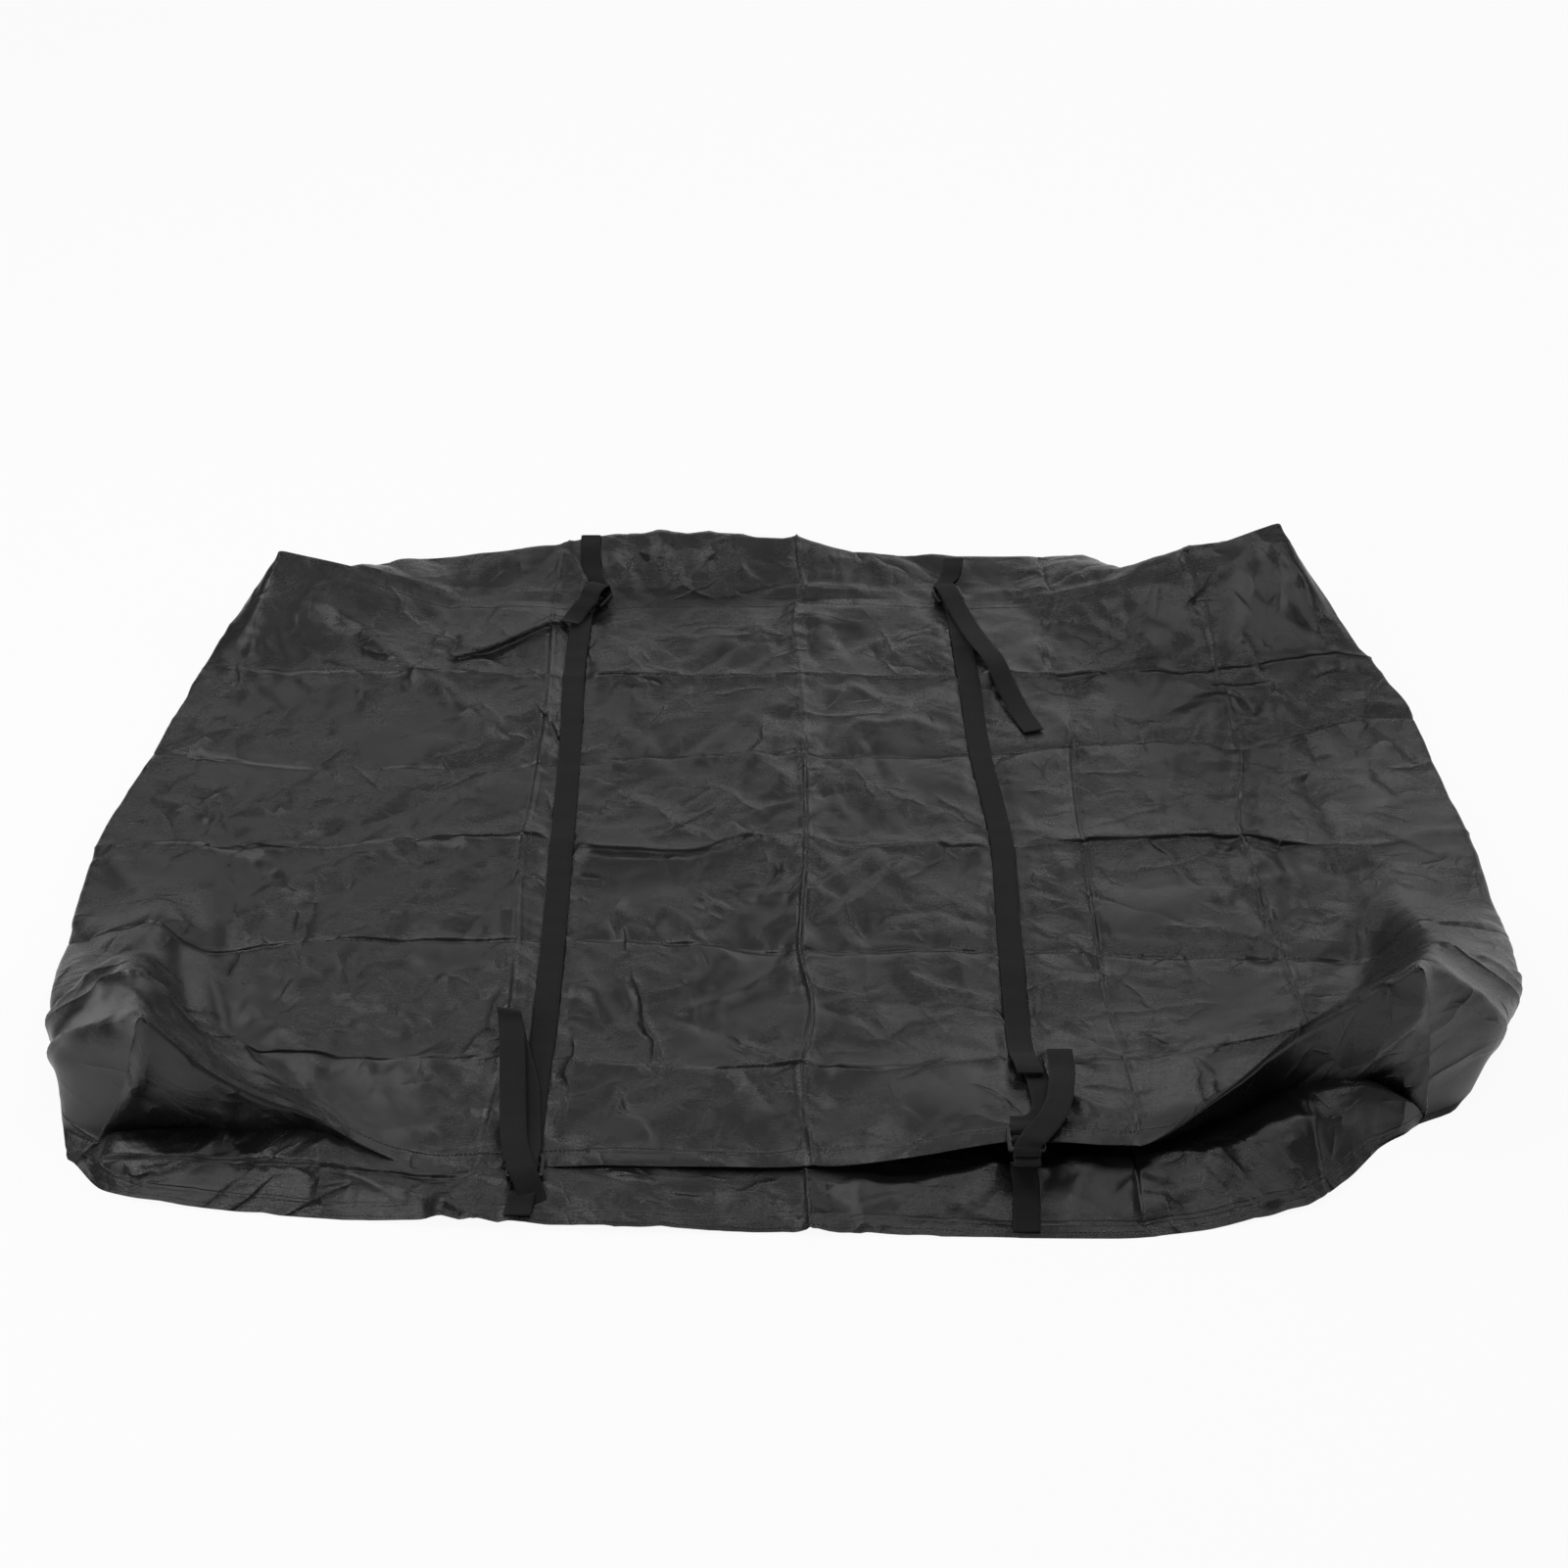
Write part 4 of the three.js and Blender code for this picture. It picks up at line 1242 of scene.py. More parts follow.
    def corner_gap(self, points: Array, arc: Array, corner: Array, hang: int) -> Array:
        """How far a wall's end is from the edge of the wide cloth that it is sewn to.

        Args:
            points: The points down the wall's end.
            arc: Their distance from the seam.
            corner: The edge's points, from the top down.
            hang: Number of the point where the strip begins.

        Returns:
            The gap at each point.
        """
        run = run_of(corner)
        foot = run[self.seen_parts]
        down = arc / arc[hang] * foot
        beyond = (arc - arc[hang]) / (arc[-1] - arc[hang])
        down[hang:] = foot + beyond[hang:] * (run[-1] - foot)
        return read_off(down, run, corner) - points

    def lay_wall(self, end: int, crumple: Crumple, wide: Array) -> tuple[Array, Array]:
        """Lay a sewn wall, joined to the laid wide cloth along its seam and corners.

        Args:
            end: -1 for the front wall, 1 for the back wall.
            crumple: How it is crumpled.
            wide: The laid wide cloth.

        Returns:
            The grid of points and their cloth places.
        """
        s = self.columns
        columns, parts = self.form.columns(s, end)
        grid = relax(divide(columns, parts), 1, 3)
        arc = run_of(grid)
        place = np.repeat(s[:, None], grid.shape[1], 1)
        lift, _ = crumple.field(place, arc - HALF_DEPTH)
        normal = normals_of(grid)
        hang = sum(parts[:HANG_SPANS])
        seen = np.zeros(grid.shape[1])
        if end < 0:
            seen[:hang] = np.linspace(0, 0.6, hang)
            seen[hang + 8 :] = 1
            flip = np.sign(normal[len(s) // 2, -4, 2])
        else:
            seen[:hang] = np.concatenate([np.linspace(0, 1, 8), np.ones(hang - 8)])
            flip = np.sign(normal[len(s) // 2, 8, 2])
        near_corner = 1 - 0.8 * ramp(np.abs(place), HALF_WIDTH - 24, HALF_WIDTH)
        if end < 0:
            self.fold_front(grid, place, hang, near_corner)
        grid = grid + normal * flip * (lift * seen * near_corner)[..., None]
        grid[..., 2] = np.maximum(grid[..., 2], LOW_LAYER)
        row = 0 if end < 0 else -1
        first = (wide.shape[1] - len(s)) // 2
        edge = wide[row, first : first + len(s)]
        grid = grid + (edge - grid[:, 0])[:, None, :] * np.exp(-arc / 30)[..., None]
        for k, corner in ((0, wide[row, : first + 1][::-1]), (-1, wide[row, -first - 1 :])):
            gap = self.corner_gap(grid[k], arc[k], corner, hang)
            if end > 0:
                gap[hang + 1 :] = gap[hang] * np.exp(-(arc[k, hang + 1 :, None] - arc[k, hang]) / 12)
            grid = grid + gap[None] * np.exp(-np.abs(s - s[k]) / 30)[:, None, None]
        inner = unit(wide[row - (1 if row else -1), first : first + len(s)] - edge)
        tuck = grid[:, 0] + inner * ALLOWANCE - [0, 0, 0.9]
        grid = np.concatenate([tuck[:, None], grid], 1)
        sides = [grid[k] + [math.copysign(1.0, -s[k]), -ALLOWANCE * end, -0.3] for k in (0, -1)]
        grid = np.concatenate([sides[0][None], grid, sides[1][None]], 0)
        arc = np.pad(np.concatenate([arc[:, :1] - ALLOWANCE, arc], 1), ((1, 1), (0, 0)), mode="edge")
        place = np.pad(place, ((1, 1), (1, 0)), mode="edge")
        return grid, np.stack([place, arc, arc[:, -1:] - arc], -1)

    def lay(self) -> CoverCloths:
        """Lay all three cloths.

        Returns:
            The laid cloths.
        """
        plain, wide_marks = self.lay_wide()
        rise = brow(plain[..., 0], plain[..., 1])
        rise[:, : self.hidden_parts] = 0
        rise[:, -self.hidden_parts :] = 0
        wide = plain + np.stack([0 * rise, -SIGHT * rise, rise], -1)
        front, front_marks = self.lay_wall(-1, FRONT_CRUMPLE, wide)
        back, back_marks = self.lay_wall(1, BACK_CRUMPLE, wide)
        return CoverCloths(wide, wide_marks, front, front_marks, back, back_marks, plain)


Station = tuple[float, float, float, float]


@dataclass(frozen=True)
class BuckleSpot:
    """One buckle and the wall strap that is threaded through it."""

    end: int
    place: tuple[float, float]
    lift: float
    turn: float
    wall: tuple[Station, ...]
    arch: tuple[tuple[float, float], ...]
    tail: tuple[Station, ...]


OVER_BUCKLE = ((21.5, 10.2), (22.6, 13), (21.2, 16), (17, 17.6), (5, 18.8), (-8, 18), (-22, 15.6))
SHORT_TURN = ((21.5, 10.2), (22.6, 13), (21.2, 16), (17, 17.6))
HIGH_ARCH = ((23, 10.6), (26, 15), (24.6, 21), (18, 25.4), (8, 27), (-2, 25.6))
BUCKLES = {
    "front_left": BuckleSpot(
        -1, (-240, -481), 0, 0, ((-243, -544, 0, 0), (-242, -530, 0, 0), (-241, -517, 0.4, 0)), OVER_BUCKLE,
        (
            (-242, -436, 5, -4), (-248, -380, 5, -12), (-260, -335, 5, -16), (-269, -302, 5, -14),
            (-272, -292, 5.4, -12), (-273, -289, 6.9, -12), (-272, -292, 8.5, -12), (-270, -302, 9, -8),
            (-266, -330, 9, -4), (-261, -380, 9, 0), (-256, -430, 11, 6), (-252, -462, 13.6, 12),
            (-246, -484, 14, 16), (-240, -500, 13, 20), (-235, -511, 8, 22), (-231, -519, 2, 22),
            (-228, -527, -1.5, 22),
        ),
    ),
    "front_right": BuckleSpot(
        -1, (222, -450), 0, 0,
        ((220, -556, 0, 0), (222, -530, 0, 0), (223, -508, 0, 0), (222, -494, 0.4, 0), (222, -487, 0.4, 0)),
        SHORT_TURN,
        (
            (226, -463, 13.5, -16), (234, -452, 15, -34), (246, -436, 15.5, -22), (255, -415, 13, -8),
            (261, -390, 9, -2), (265, -366, 6.5, 0), (265, -347, 5, 0),
        ),
    ),
    "back_left": BuckleSpot(
        1, (-240, 466), 2.4, -25,
        ((-248, 583, 1.2, 0), (-248, 560, 1.2, 0), (-246, 535, 1, -6), (-238, 512, 1, -18)), HIGH_ARCH,
        (
            (-243, 455, 17, -25), (-250, 443, 14, -22), (-257, 432, 9, -20), (-262, 420, 5.6, -18),
            (-266, 409, 4.6, -16),
        ),
    ),
    "back_right": BuckleSpot(
        1, (207, 474), 2.4, 16, ((218, 560, 0, 0), (216, 545, 0, 2), (210, 525, 0, 8)), OVER_BUCKLE,
        (
            (222, 425, 7, 16), (238, 361, 12, 16), (252, 316, 8.5, 17), (265, 273, 5, 17),
            (278, 232, 3.4, 17), (290, 192, 2.4, 17),
        ),
    ),
}
LOOP = (
    (-20, 8.9), (-6.4, 8.9), (-4.8, 9.5), (-4.7, 14.1), (-5.8, 15.4), (-9, 15.5), (-13, 14.4),
    (-20, 11.6), (-27, 11.1),
)
THREAD = (
    (28, 6.9), (17, 6.9), (8, 7), (3.4, 8.1), (0.9, 9.2), (0.7, 12), (0.9, 14.6), (2.4, 15.6), (5.6, 15.6),
    (7.1, 14.6), (7.2, 11.2), (8.4, 9.4), (10.5, 8.9), (18.5, 8.9),
)
SLACK_FOLD = (
    (240, -418, 0, -6), (243, -385, 0, -2), (241, -362, 0, 0), (239, -351, 0.3, 0), (238, -347, 1.6, 0),
    (237, -351, 3, 0), (236, -362, 5, 0), (235, -371, 7, 0), (234, -375, 9.4, 0), (233, -371, 11.6, 0),
    (232, -361, 11, 0), (231, -349, 6, 0), (231, -340, 1.6, 0),
)
SLACK_FROM = -330.0
BUCKLE_OUT = 4.0
STRAP_END = 36.0


class Webbing:
    """The two sewn top straps and the four wall straps with their loose tails."""

    lift = 1.3

    def __init__(self, maker: PieceMaker, top: Surface, front: Surface, back: Surface) -> None:
        """Keep what the straps lie on.

        Args:
            maker: Makes the pieces.
            top: The laid wide cloth.
            front: The laid front strip.
            back: The laid back strip.
        """
        self.maker = maker
        self.top = top
        self.walls = {-1: front, 1: back}

    def at_buckle(self, spot: BuckleSpot, place: tuple[float, float]) -> Station:
        """A station that is given from a buckle's seam.

        Args:
            spot: The buckle.
            place: How far out from the seam, and how high over the floor.

        Returns:
            The station, with its height over the floor.
        """
        angle = math.radians(spot.turn)
        x = spot.place[0] - spot.end * math.sin(angle) * place[0]
        y = spot.place[1] + spot.end * math.cos(angle) * place[0]
        return (x, y, place[1] + spot.lift, spot.turn)

    def over(self, surface: Surface, station: Station) -> Station:
        """A station that is given over what it lies on.

        Args:
            surface: What it lies on.
            station: The station.

        Returns:
            The station, with its height over the floor.
        """
        x, y, over, turn = station
        return (x, y, surface.height(x, y) + over, turn)

    def raised(self, stations: Sequence[Station]) -> list[Station]:
        """Stations on the top, lifted with its front edge.

        Args:
            stations: The stations, as on the flat top.

        Returns:
            The lifted stations.
        """
        rises = [float(brow(x, y)) for x, y, _, _ in stations]
        return [(x, y - SIGHT * rise, z + rise, turn) for (x, y, z, turn), rise in zip(stations, rises)]

    def finer(self, stations: Sequence[Station]) -> tuple[Array, Array]:
        """Soft, evenly spaced places along a strap.

        Args:
            stations: The strap's stations.

        Returns:
            Points down the strap's middle, and the unit directions across it.
        """
        rough = np.array(stations, float)
        run = run_of(rough[:, :3])
        keep = np.concatenate([[True], np.diff(run) > 1e-6])
        rough, run = rough[keep], run[keep]
        tangent = np.gradient(rough, run, axis=0)
        count = max(8, round(run[-1] / 1.2))
        want = np.linspace(0, run[-1], count)
        i = np.clip(np.searchsorted(run, want, side="right") - 1, 0, len(run) - 2)
        span = (run[i + 1] - run[i])[:, None]
        fine = hermite(i, (want - run[i])[:, None] / span, span, rough, tangent)
        angle = np.radians(fine[:, 3])
        across = np.stack([np.cos(angle), np.sin(angle), 0 * angle], -1)
        return fine[:, :3], across

    def make(self, name: str, stations: Sequence[Station]) -> bpy.types.Object:
        """Make one strap in place of its plain solid.

        Args:
            name: Name of the strap's node.
            stations: Its stations.

        Returns:
            The new piece.
        """
        centre, across = self.finer(stations)
        piece = self.maker.ribbon(f"{name}_webbing", centre, across, WEB_WIDTH, WEB_THICKNESS)
        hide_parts(name)
        return piece

    def wall_strap(self, corner: str) -> bpy.types.Object:
        """Make the strap of one wall, through its buckle to the end of its tail.

        Args:
            corner: Name of the corner.

        Returns:
            The new piece.
        """
        spot = BUCKLES[corner]
        strip = self.walls[spot.end]
        on_wall = [self.over(strip, (x, y, self.lift + over, turn)) for x, y, over, turn in spot.wall]
        threaded = [self.at_buckle(spot, place) for place in THREAD + spot.arch]
        tail = [self.over(self.top, station) for station in spot.tail]
        return self.make(f"{corner}_wall_strap", [*on_wall, *self.raised([*threaded, *tail])])

    def top_strap(self, side: str) -> bpy.types.Object:
        """Make one strap over the top, looped on both of its buckles.

        Args:
            side: left or right.

        Returns:
            The new piece.
        """
        line = STRAP_LEFT if side == "left" else STRAP_RIGHT
        slack = () if side == "left" else SLACK_FOLD
        front, back = BUCKLES[f"front_{side}"], BUCKLES[f"back_{side}"]
        low = SLACK_FROM if slack else -HALF_DEPTH + STRAP_END
        rows = np.arange(low + 10, back.place[1] - STRAP_END, 10.0)
        form = CoverForm()
        middle = []
        for v in rows:
            x = float(line(v))
            y = float(v + form.row_shift(np.array(x), np.array(v)))
            height = max(self.top.height(x + off, y, 5) for off in (-10, -5, 0, 5, 10))
            middle.append([x, y, height + self.lift, 0.0])
        heights = np.array([m[2] for m in middle])
        padded = np.pad(heights, 1, mode="edge")
        heights = np.maximum(heights - 0.4, (padded[:-2] + padded[1:-1] + padded[2:]) / 3)
        middle = [(m[0], m[1], h, m[3]) for m, h in zip(middle, heights)]
        loose = [self.over(self.top, (x, y, self.lift + over, turn)) for x, y, over, turn in slack]
        ends = [self.at_buckle(front, place) for place in LOOP][::-1]
        far = [self.at_buckle(back, place) for place in LOOP]
        return self.make(f"{side}_top_strap", self.raised([*ends, *loose, *middle, *far]))

    def build(self) -> list[bpy.types.Object]:
        """Make every strap.

        Returns:
            The six pieces.
        """
        straps = [self.top_strap(side) for side in ("left", "right")]
        return straps + [self.wall_strap(corner) for corner in BUCKLES]


class Buckles:
    """The four ladder-lock buckles, with the rounded edges of moulded plastic."""

    edge = 0.0011

    def build(self) -> list[bpy.types.Object]:
        """Round each buckle of the frame into a piece of its own.

        Returns:
            The four pieces.
        """
        pieces = []
        for corner in BUCKLES:
            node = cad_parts[f"{corner}_buckle"]
            data = node.data.copy()
            rise = float(brow(*BUCKLES[corner].place)) * MM
            data.transform(Matrix.Translation((0, -SIGHT * rise, rise)))
            piece = bpy.data.objects.new(f"{corner}_moulded_buckle", data)
            bpy.context.scene.collection.objects.link(piece)
            weld = piece.modifiers.new("weld", "WELD")
            weld.merge_threshold = 0.00002
            flat = piece.modifiers.new("flat", "DECIMATE")
            flat.decimate_type = "DISSOLVE"
            flat.angle_limit = math.radians(2)
            bevel = piece.modifiers.new("bevel", "BEVEL")
            bevel.width = self.edge
            bevel.segments = 3
            bevel.limit_method = "ANGLE"
            bevel.angle_limit = math.radians(40)
            data.shade_smooth()
            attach(piece, "root")
            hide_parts(f"{corner}_buckle")
            pieces.append(piece)
        return pieces


class Graph:
    """Short calls for a tree of shader nodes."""

    def __init__(self, tree: bpy.types.NodeTree) -> None:
        """Empty the tree.

        Args:
            tree: The tree to fill.
        """
        self.tree = tree
        tree.nodes.clear()

    def node(self, kind: str, **settings: object) -> bpy.types.Node:
        """Add a node.

        Args:
            kind: The node's type, without the prefix that shader nodes share.
            **settings: Values to set on it.

        Returns:
            The node.
        """
        node = self.tree.nodes.new(kind if kind.startswith("NodeGroup") else f"ShaderNode{kind}")
        for key, value in settings.items():
            setattr(node, key, value)
        return node

    def link(self, source: bpy.types.NodeSocket, target: bpy.types.NodeSocket) -> None:
        """Join two sockets.

        Args:
            source: Output socket.
            target: Input socket.
        """
        self.tree.links.new(source, target)

    def feed(self, node: bpy.types.Node, **inputs: object) -> bpy.types.Node:
        """Set or join inputs of a node by their place.

        Args:
            node: The node.
            **inputs: in0, in1 and so on, each a socket or a value.

        Returns:
            The node.
        """
        for key, value in inputs.items():
            socket = node.inputs[int(key[2:])]
            if isinstance(value, bpy.types.NodeSocket):
                self.link(value, socket)
            else:
                socket.default_value = value
        return node

    def math(self, operation: str, a: object, b: object = 0.0, c: object = 0.0) -> bpy.types.NodeSocket:
        """Add a math node.

        Args:
            operation: Its operation.
            a: First input.
            b: Second input.
            c: Third input.

        Returns:
            Its output.
        """
        node = self.node("Math", operation=operation)
        return self.feed(node, in0=a, in1=b, in2=c).outputs[0]

    def scaled(self, vector: bpy.types.NodeSocket, by: tuple[float, float, float]) -> bpy.types.NodeSocket:
        """Multiply a vector.

        Args:
            vector: The vector.
            by: What to multiply it by.

        Returns:
            The scaled vector.
        """
        node = self.node("VectorMath", operation="MULTIPLY")
        return self.feed(node, in0=vector, in1=by).outputs[0]

    def ranged(
        self, value: bpy.types.NodeSocket, low: float, high: float, to: tuple[float, float]
    ) -> bpy.types.NodeSocket:
        """Map a value from one range to another, with its ends kept.

        Args:
            value: The value.
            low: Low end of its range.
            high: High end of its range.
            to: The new range.

        Returns:
            The mapped value.
        """
        node = self.node("MapRange")
        return self.feed(node, in0=value, in1=low, in2=high, in3=to[0], in4=to[1]).outputs[0]

    def split(self, vector: bpy.types.NodeSocket) -> bpy.types.bpy_prop_collection:
        """Split a vector.

        Args:
            vector: The vector.

        Returns:
            The sockets of its three parts.
        """
        return self.feed(self.node("SeparateXYZ"), in0=vector).outputs

    def noise(
        self, vector: bpy.types.NodeSocket, by: tuple[float, float, float], detail: float
    ) -> bpy.types.Node:
        """Add a noise texture.

        Args:
            vector: Where to read it.
            by: What the vector is multiplied by first.
            detail: How many finer layers it has.

        Returns:
            Its node.
        """
        return self.feed(self.node("TexNoise"), in0=self.scaled(vector, by), in2=1.0, in3=detail)

    def cells(self, vector: bpy.types.NodeSocket, **settings: object) -> bpy.types.Node:
        """Add a flat cell texture.

        Args:
            vector: Where to read it.
            **settings: Values to set on it.

        Returns:
            Its node.
        """
        node = self.feed(self.node("TexVoronoi", voronoi_dimensions="2D", **settings), in0=vector)
        node.inputs["Scale"].default_value = 1.0
        return node


def group(name: str, inputs: Sequence[tuple[str, str]], outputs: Sequence[tuple[str, str]]) -> tuple:
    """Start a node group with named sockets.

    Args:
        name: The group's name.
        inputs: Names and kinds of its inputs.
        outputs: Names and kinds of its outputs.

    Returns:
        The group's tree, its graph, its input node and its output node.
    """
    tree = bpy.data.node_groups.new(name, "ShaderNodeTree")
    graph = Graph(tree)
    for title, kind in inputs:
        tree.interface.new_socket(name=title, in_out="INPUT", socket_type=f"NodeSocket{kind}")
    for title, kind in outputs:
        tree.interface.new_socket(name=title, in_out="OUTPUT", socket_type=f"NodeSocket{kind}")
    return tree, graph, graph.node("NodeGroupInput"), graph.node("NodeGroupOutput")


def crease_group() -> bpy.types.NodeTree:
    """One short straight crease in each cell, turned at random.

    Returns:
        The group.
    """
    sockets = [("Place", "Vector"), ("Cell", "Float"), ("Offset", "Vector")]
    tree, g, source, sink = group("Short creases", sockets, [("Height", "Float")])
    turned = g.feed(g.node("VectorRotate", rotation_type="Z_AXIS"), in0=source.outputs[0])
    turned.inputs["Angle"].default_value = 0.6
    scaled = g.feed(g.node("VectorMath", operation="SCALE"), in0=turned.outputs[0])
    g.link(g.math("DIVIDE", 1.0, source.outputs[1]), scaled.inputs["Scale"])
    at = g.feed(g.node("VectorMath", operation="ADD"), in0=scaled.outputs[0], in1=source.outputs[2])
    cell = g.cells(at.outputs[0])
    edge = g.cells(at.outputs[0], feature="DISTANCE_TO_EDGE")
    local = g.node("VectorMath", operation="SUBTRACT")
    way = g.split(g.feed(local, in0=at.outputs[0], in1=cell.outputs["Position"]).outputs[0])
    dice = g.feed(g.node("SeparateColor"), in0=cell.outputs["Color"])
    angle = g.math("MULTIPLY", dice.outputs[0], 2 * math.pi)
    cosine, sine = g.math("COSINE", angle), g.math("SINE", angle)
    off = g.math("SUBTRACT", g.math("MULTIPLY", way[1], cosine), g.math("MULTIPLY", way[0], sine))
    reach = g.ranged(dice.outputs[1], 0, 1, (0.03, 0.12))
    peak = g.math("EXPONENT", g.math("DIVIDE", g.math("MULTIPLY", g.math("ABSOLUTE", off), -1.0), reach))
    taper = g.ranged(edge.outputs["Distance"], 0.0, 0.22, (0, 1))
    size = g.math("MULTIPLY", g.math("SUBTRACT", dice.outputs[2], 0.35), source.outputs[1])
    g.link(g.math("MULTIPLY", g.math("MULTIPLY", peak, taper), size), sink.inputs[0])
    return tree


def crumple_group() -> bpy.types.NodeTree:
    """Fine crumples: short creases and small flat facets, thicker in some places.

    Returns:
        The group.
    """
    sockets = [("Height", "Float"), ("Shade", "Float")]
    tree, g, source, sink = group("Fine crumple", [("Place", "Vector")], sockets)
    patch = g.noise(source.outputs[0], (0.009, 0.009, 0), 3.0)
    busy = g.ranged(patch.outputs[0], 0.38, 0.62, (0.15, 1))
    bend = g.noise(source.outputs[0], (0.018, 0.018, 0), 2.0)
    push = g.scaled(bend.outputs["Color"], (30, 30, 0))
    warped = g.feed(g.node("VectorMath", operation="ADD"), in0=source.outputs[0], in1=push).outputs[0]
    flat = g.cells(g.scaled(warped, (0.02, 0.03, 0)), feature="DISTANCE_TO_EDGE")
    total = g.math("MULTIPLY", flat.outputs["Distance"], 2.4)
    creases = crease_group()
    for cell, depth in ((105.0, 0.1), (52.0, 0.11), (27.0, 0.065)):
        layer = g.feed(g.node("Group", node_tree=creases), in0=warped)
        layer.inputs["Cell"].default_value = cell
        layer.inputs["Offset"].default_value = (cell, 0.37 * cell, 0)
        total = g.math("MULTIPLY_ADD", layer.outputs[0], depth, total)
    g.link(g.math("MULTIPLY", total, busy), sink.inputs[0])
    g.link(g.ranged(patch.outputs[0], 0.3, 0.7, (0, 1)), sink.inputs[1])
    return tree


def band_group() -> bpy.types.NodeTree:
    """The doubled band of cloth beside a sewn edge, puckered by its row of stitches.

    Returns:
        The group.
    """
    tree, g, source, sink = group("Sewn band", [("Place", "Vector")], [("Height", "Float")])
    edge = g.split(source.outputs[0])[2]
    doubled = g.ranged(edge, 18.6, 19.8, (1, 0))
    line = g.math("ABSOLUTE", g.math("SUBTRACT", edge, 15.0))
    groove = g.ranged(line, 0.0, 1.6, (1, 0))
    beat = g.noise(source.outputs[0], (0.14, 0, 0.03), 2.0)
    pucker = g.math("MULTIPLY", beat.outputs[0], g.ranged(line, 0.0, 14.0, (1, 0)))
    flat = g.math("MULTIPLY_ADD", groove, -0.25, g.math("MULTIPLY", doubled, 0.4))
    g.link(g.math("MULTIPLY_ADD", pucker, 0.9, flat), sink.inputs[0])
    return tree


def weave_group() -> bpy.types.NodeTree:
    """Threads that cross at right angles.

    Returns:
        The group.
    """
    sockets = [("Place", "Vector"), ("Pitch", "Float")]
    tree, g, source, sink = group("Thread weave", sockets, [("Height", "Float")])
    split = g.split(source.outputs[0])
    turn = g.math("DIVIDE", 2 * math.pi, source.outputs[1])
    waves = [g.math("SINE", g.math("MULTIPLY", split[k], turn)) for k in (0, 1)]
    g.link(g.math("MULTIPLY_ADD", g.math("MULTIPLY", waves[0], waves[1]), 0.5, 0.5), sink.inputs[0])
    return tree


def wear_group() -> bpy.types.NodeTree:
    """Faint dust and rubbing, uneven from place to place.

    Returns:
        The group.
    """
    tree, g, source, sink = group("Handling wear", [("Place", "Vector")], [("Mask", "Float")])
    broad = g.noise(source.outputs[0], (0.012, 0.012, 0.5), 5.0)
    grain = g.noise(source.outputs[0], (0.35, 0.35, 0.5), 2.0)
    both = g.math("MULTIPLY", broad.outputs[0], grain.outputs[0])
    g.link(g.ranged(both, 0.14, 0.42, (0, 1)), sink.inputs[0])
    return tree


@dataclass(frozen=True)
class Finish:
    """What a material is to look like."""

    name: str
    dark: tuple[float, float, float]
    light: tuple[float, float, float]
    rough: tuple[float, float]
    sheen: float = 0.0


PLASTIC_IOR = 1.5
RIB_PITCH = 1.15
CLOTH_FINISH = Finish("coated cloth", (0.006, 0.006, 0.0065), (0.013, 0.013, 0.0135), (0.22, 0.31))
# Webbing: dark is painted shade in the rib grooves, light is painted highlight on the rib crests.
WEB_FINISH = Finish("ribbed webbing", (0.004, 0.004, 0.0045), (0.012, 0.012, 0.013), (0.8, 0.95), sheen=0.06)
NYLON_FINISH = Finish("moulded nylon", (0.008, 0.008, 0.009), (0.012, 0.012, 0.013), (0.22, 0.36))
THREAD_FINISH = Finish("black thread", (0.012, 0.012, 0.013), (0.022, 0.022, 0.023), (0.5, 0.65), sheen=0.3)


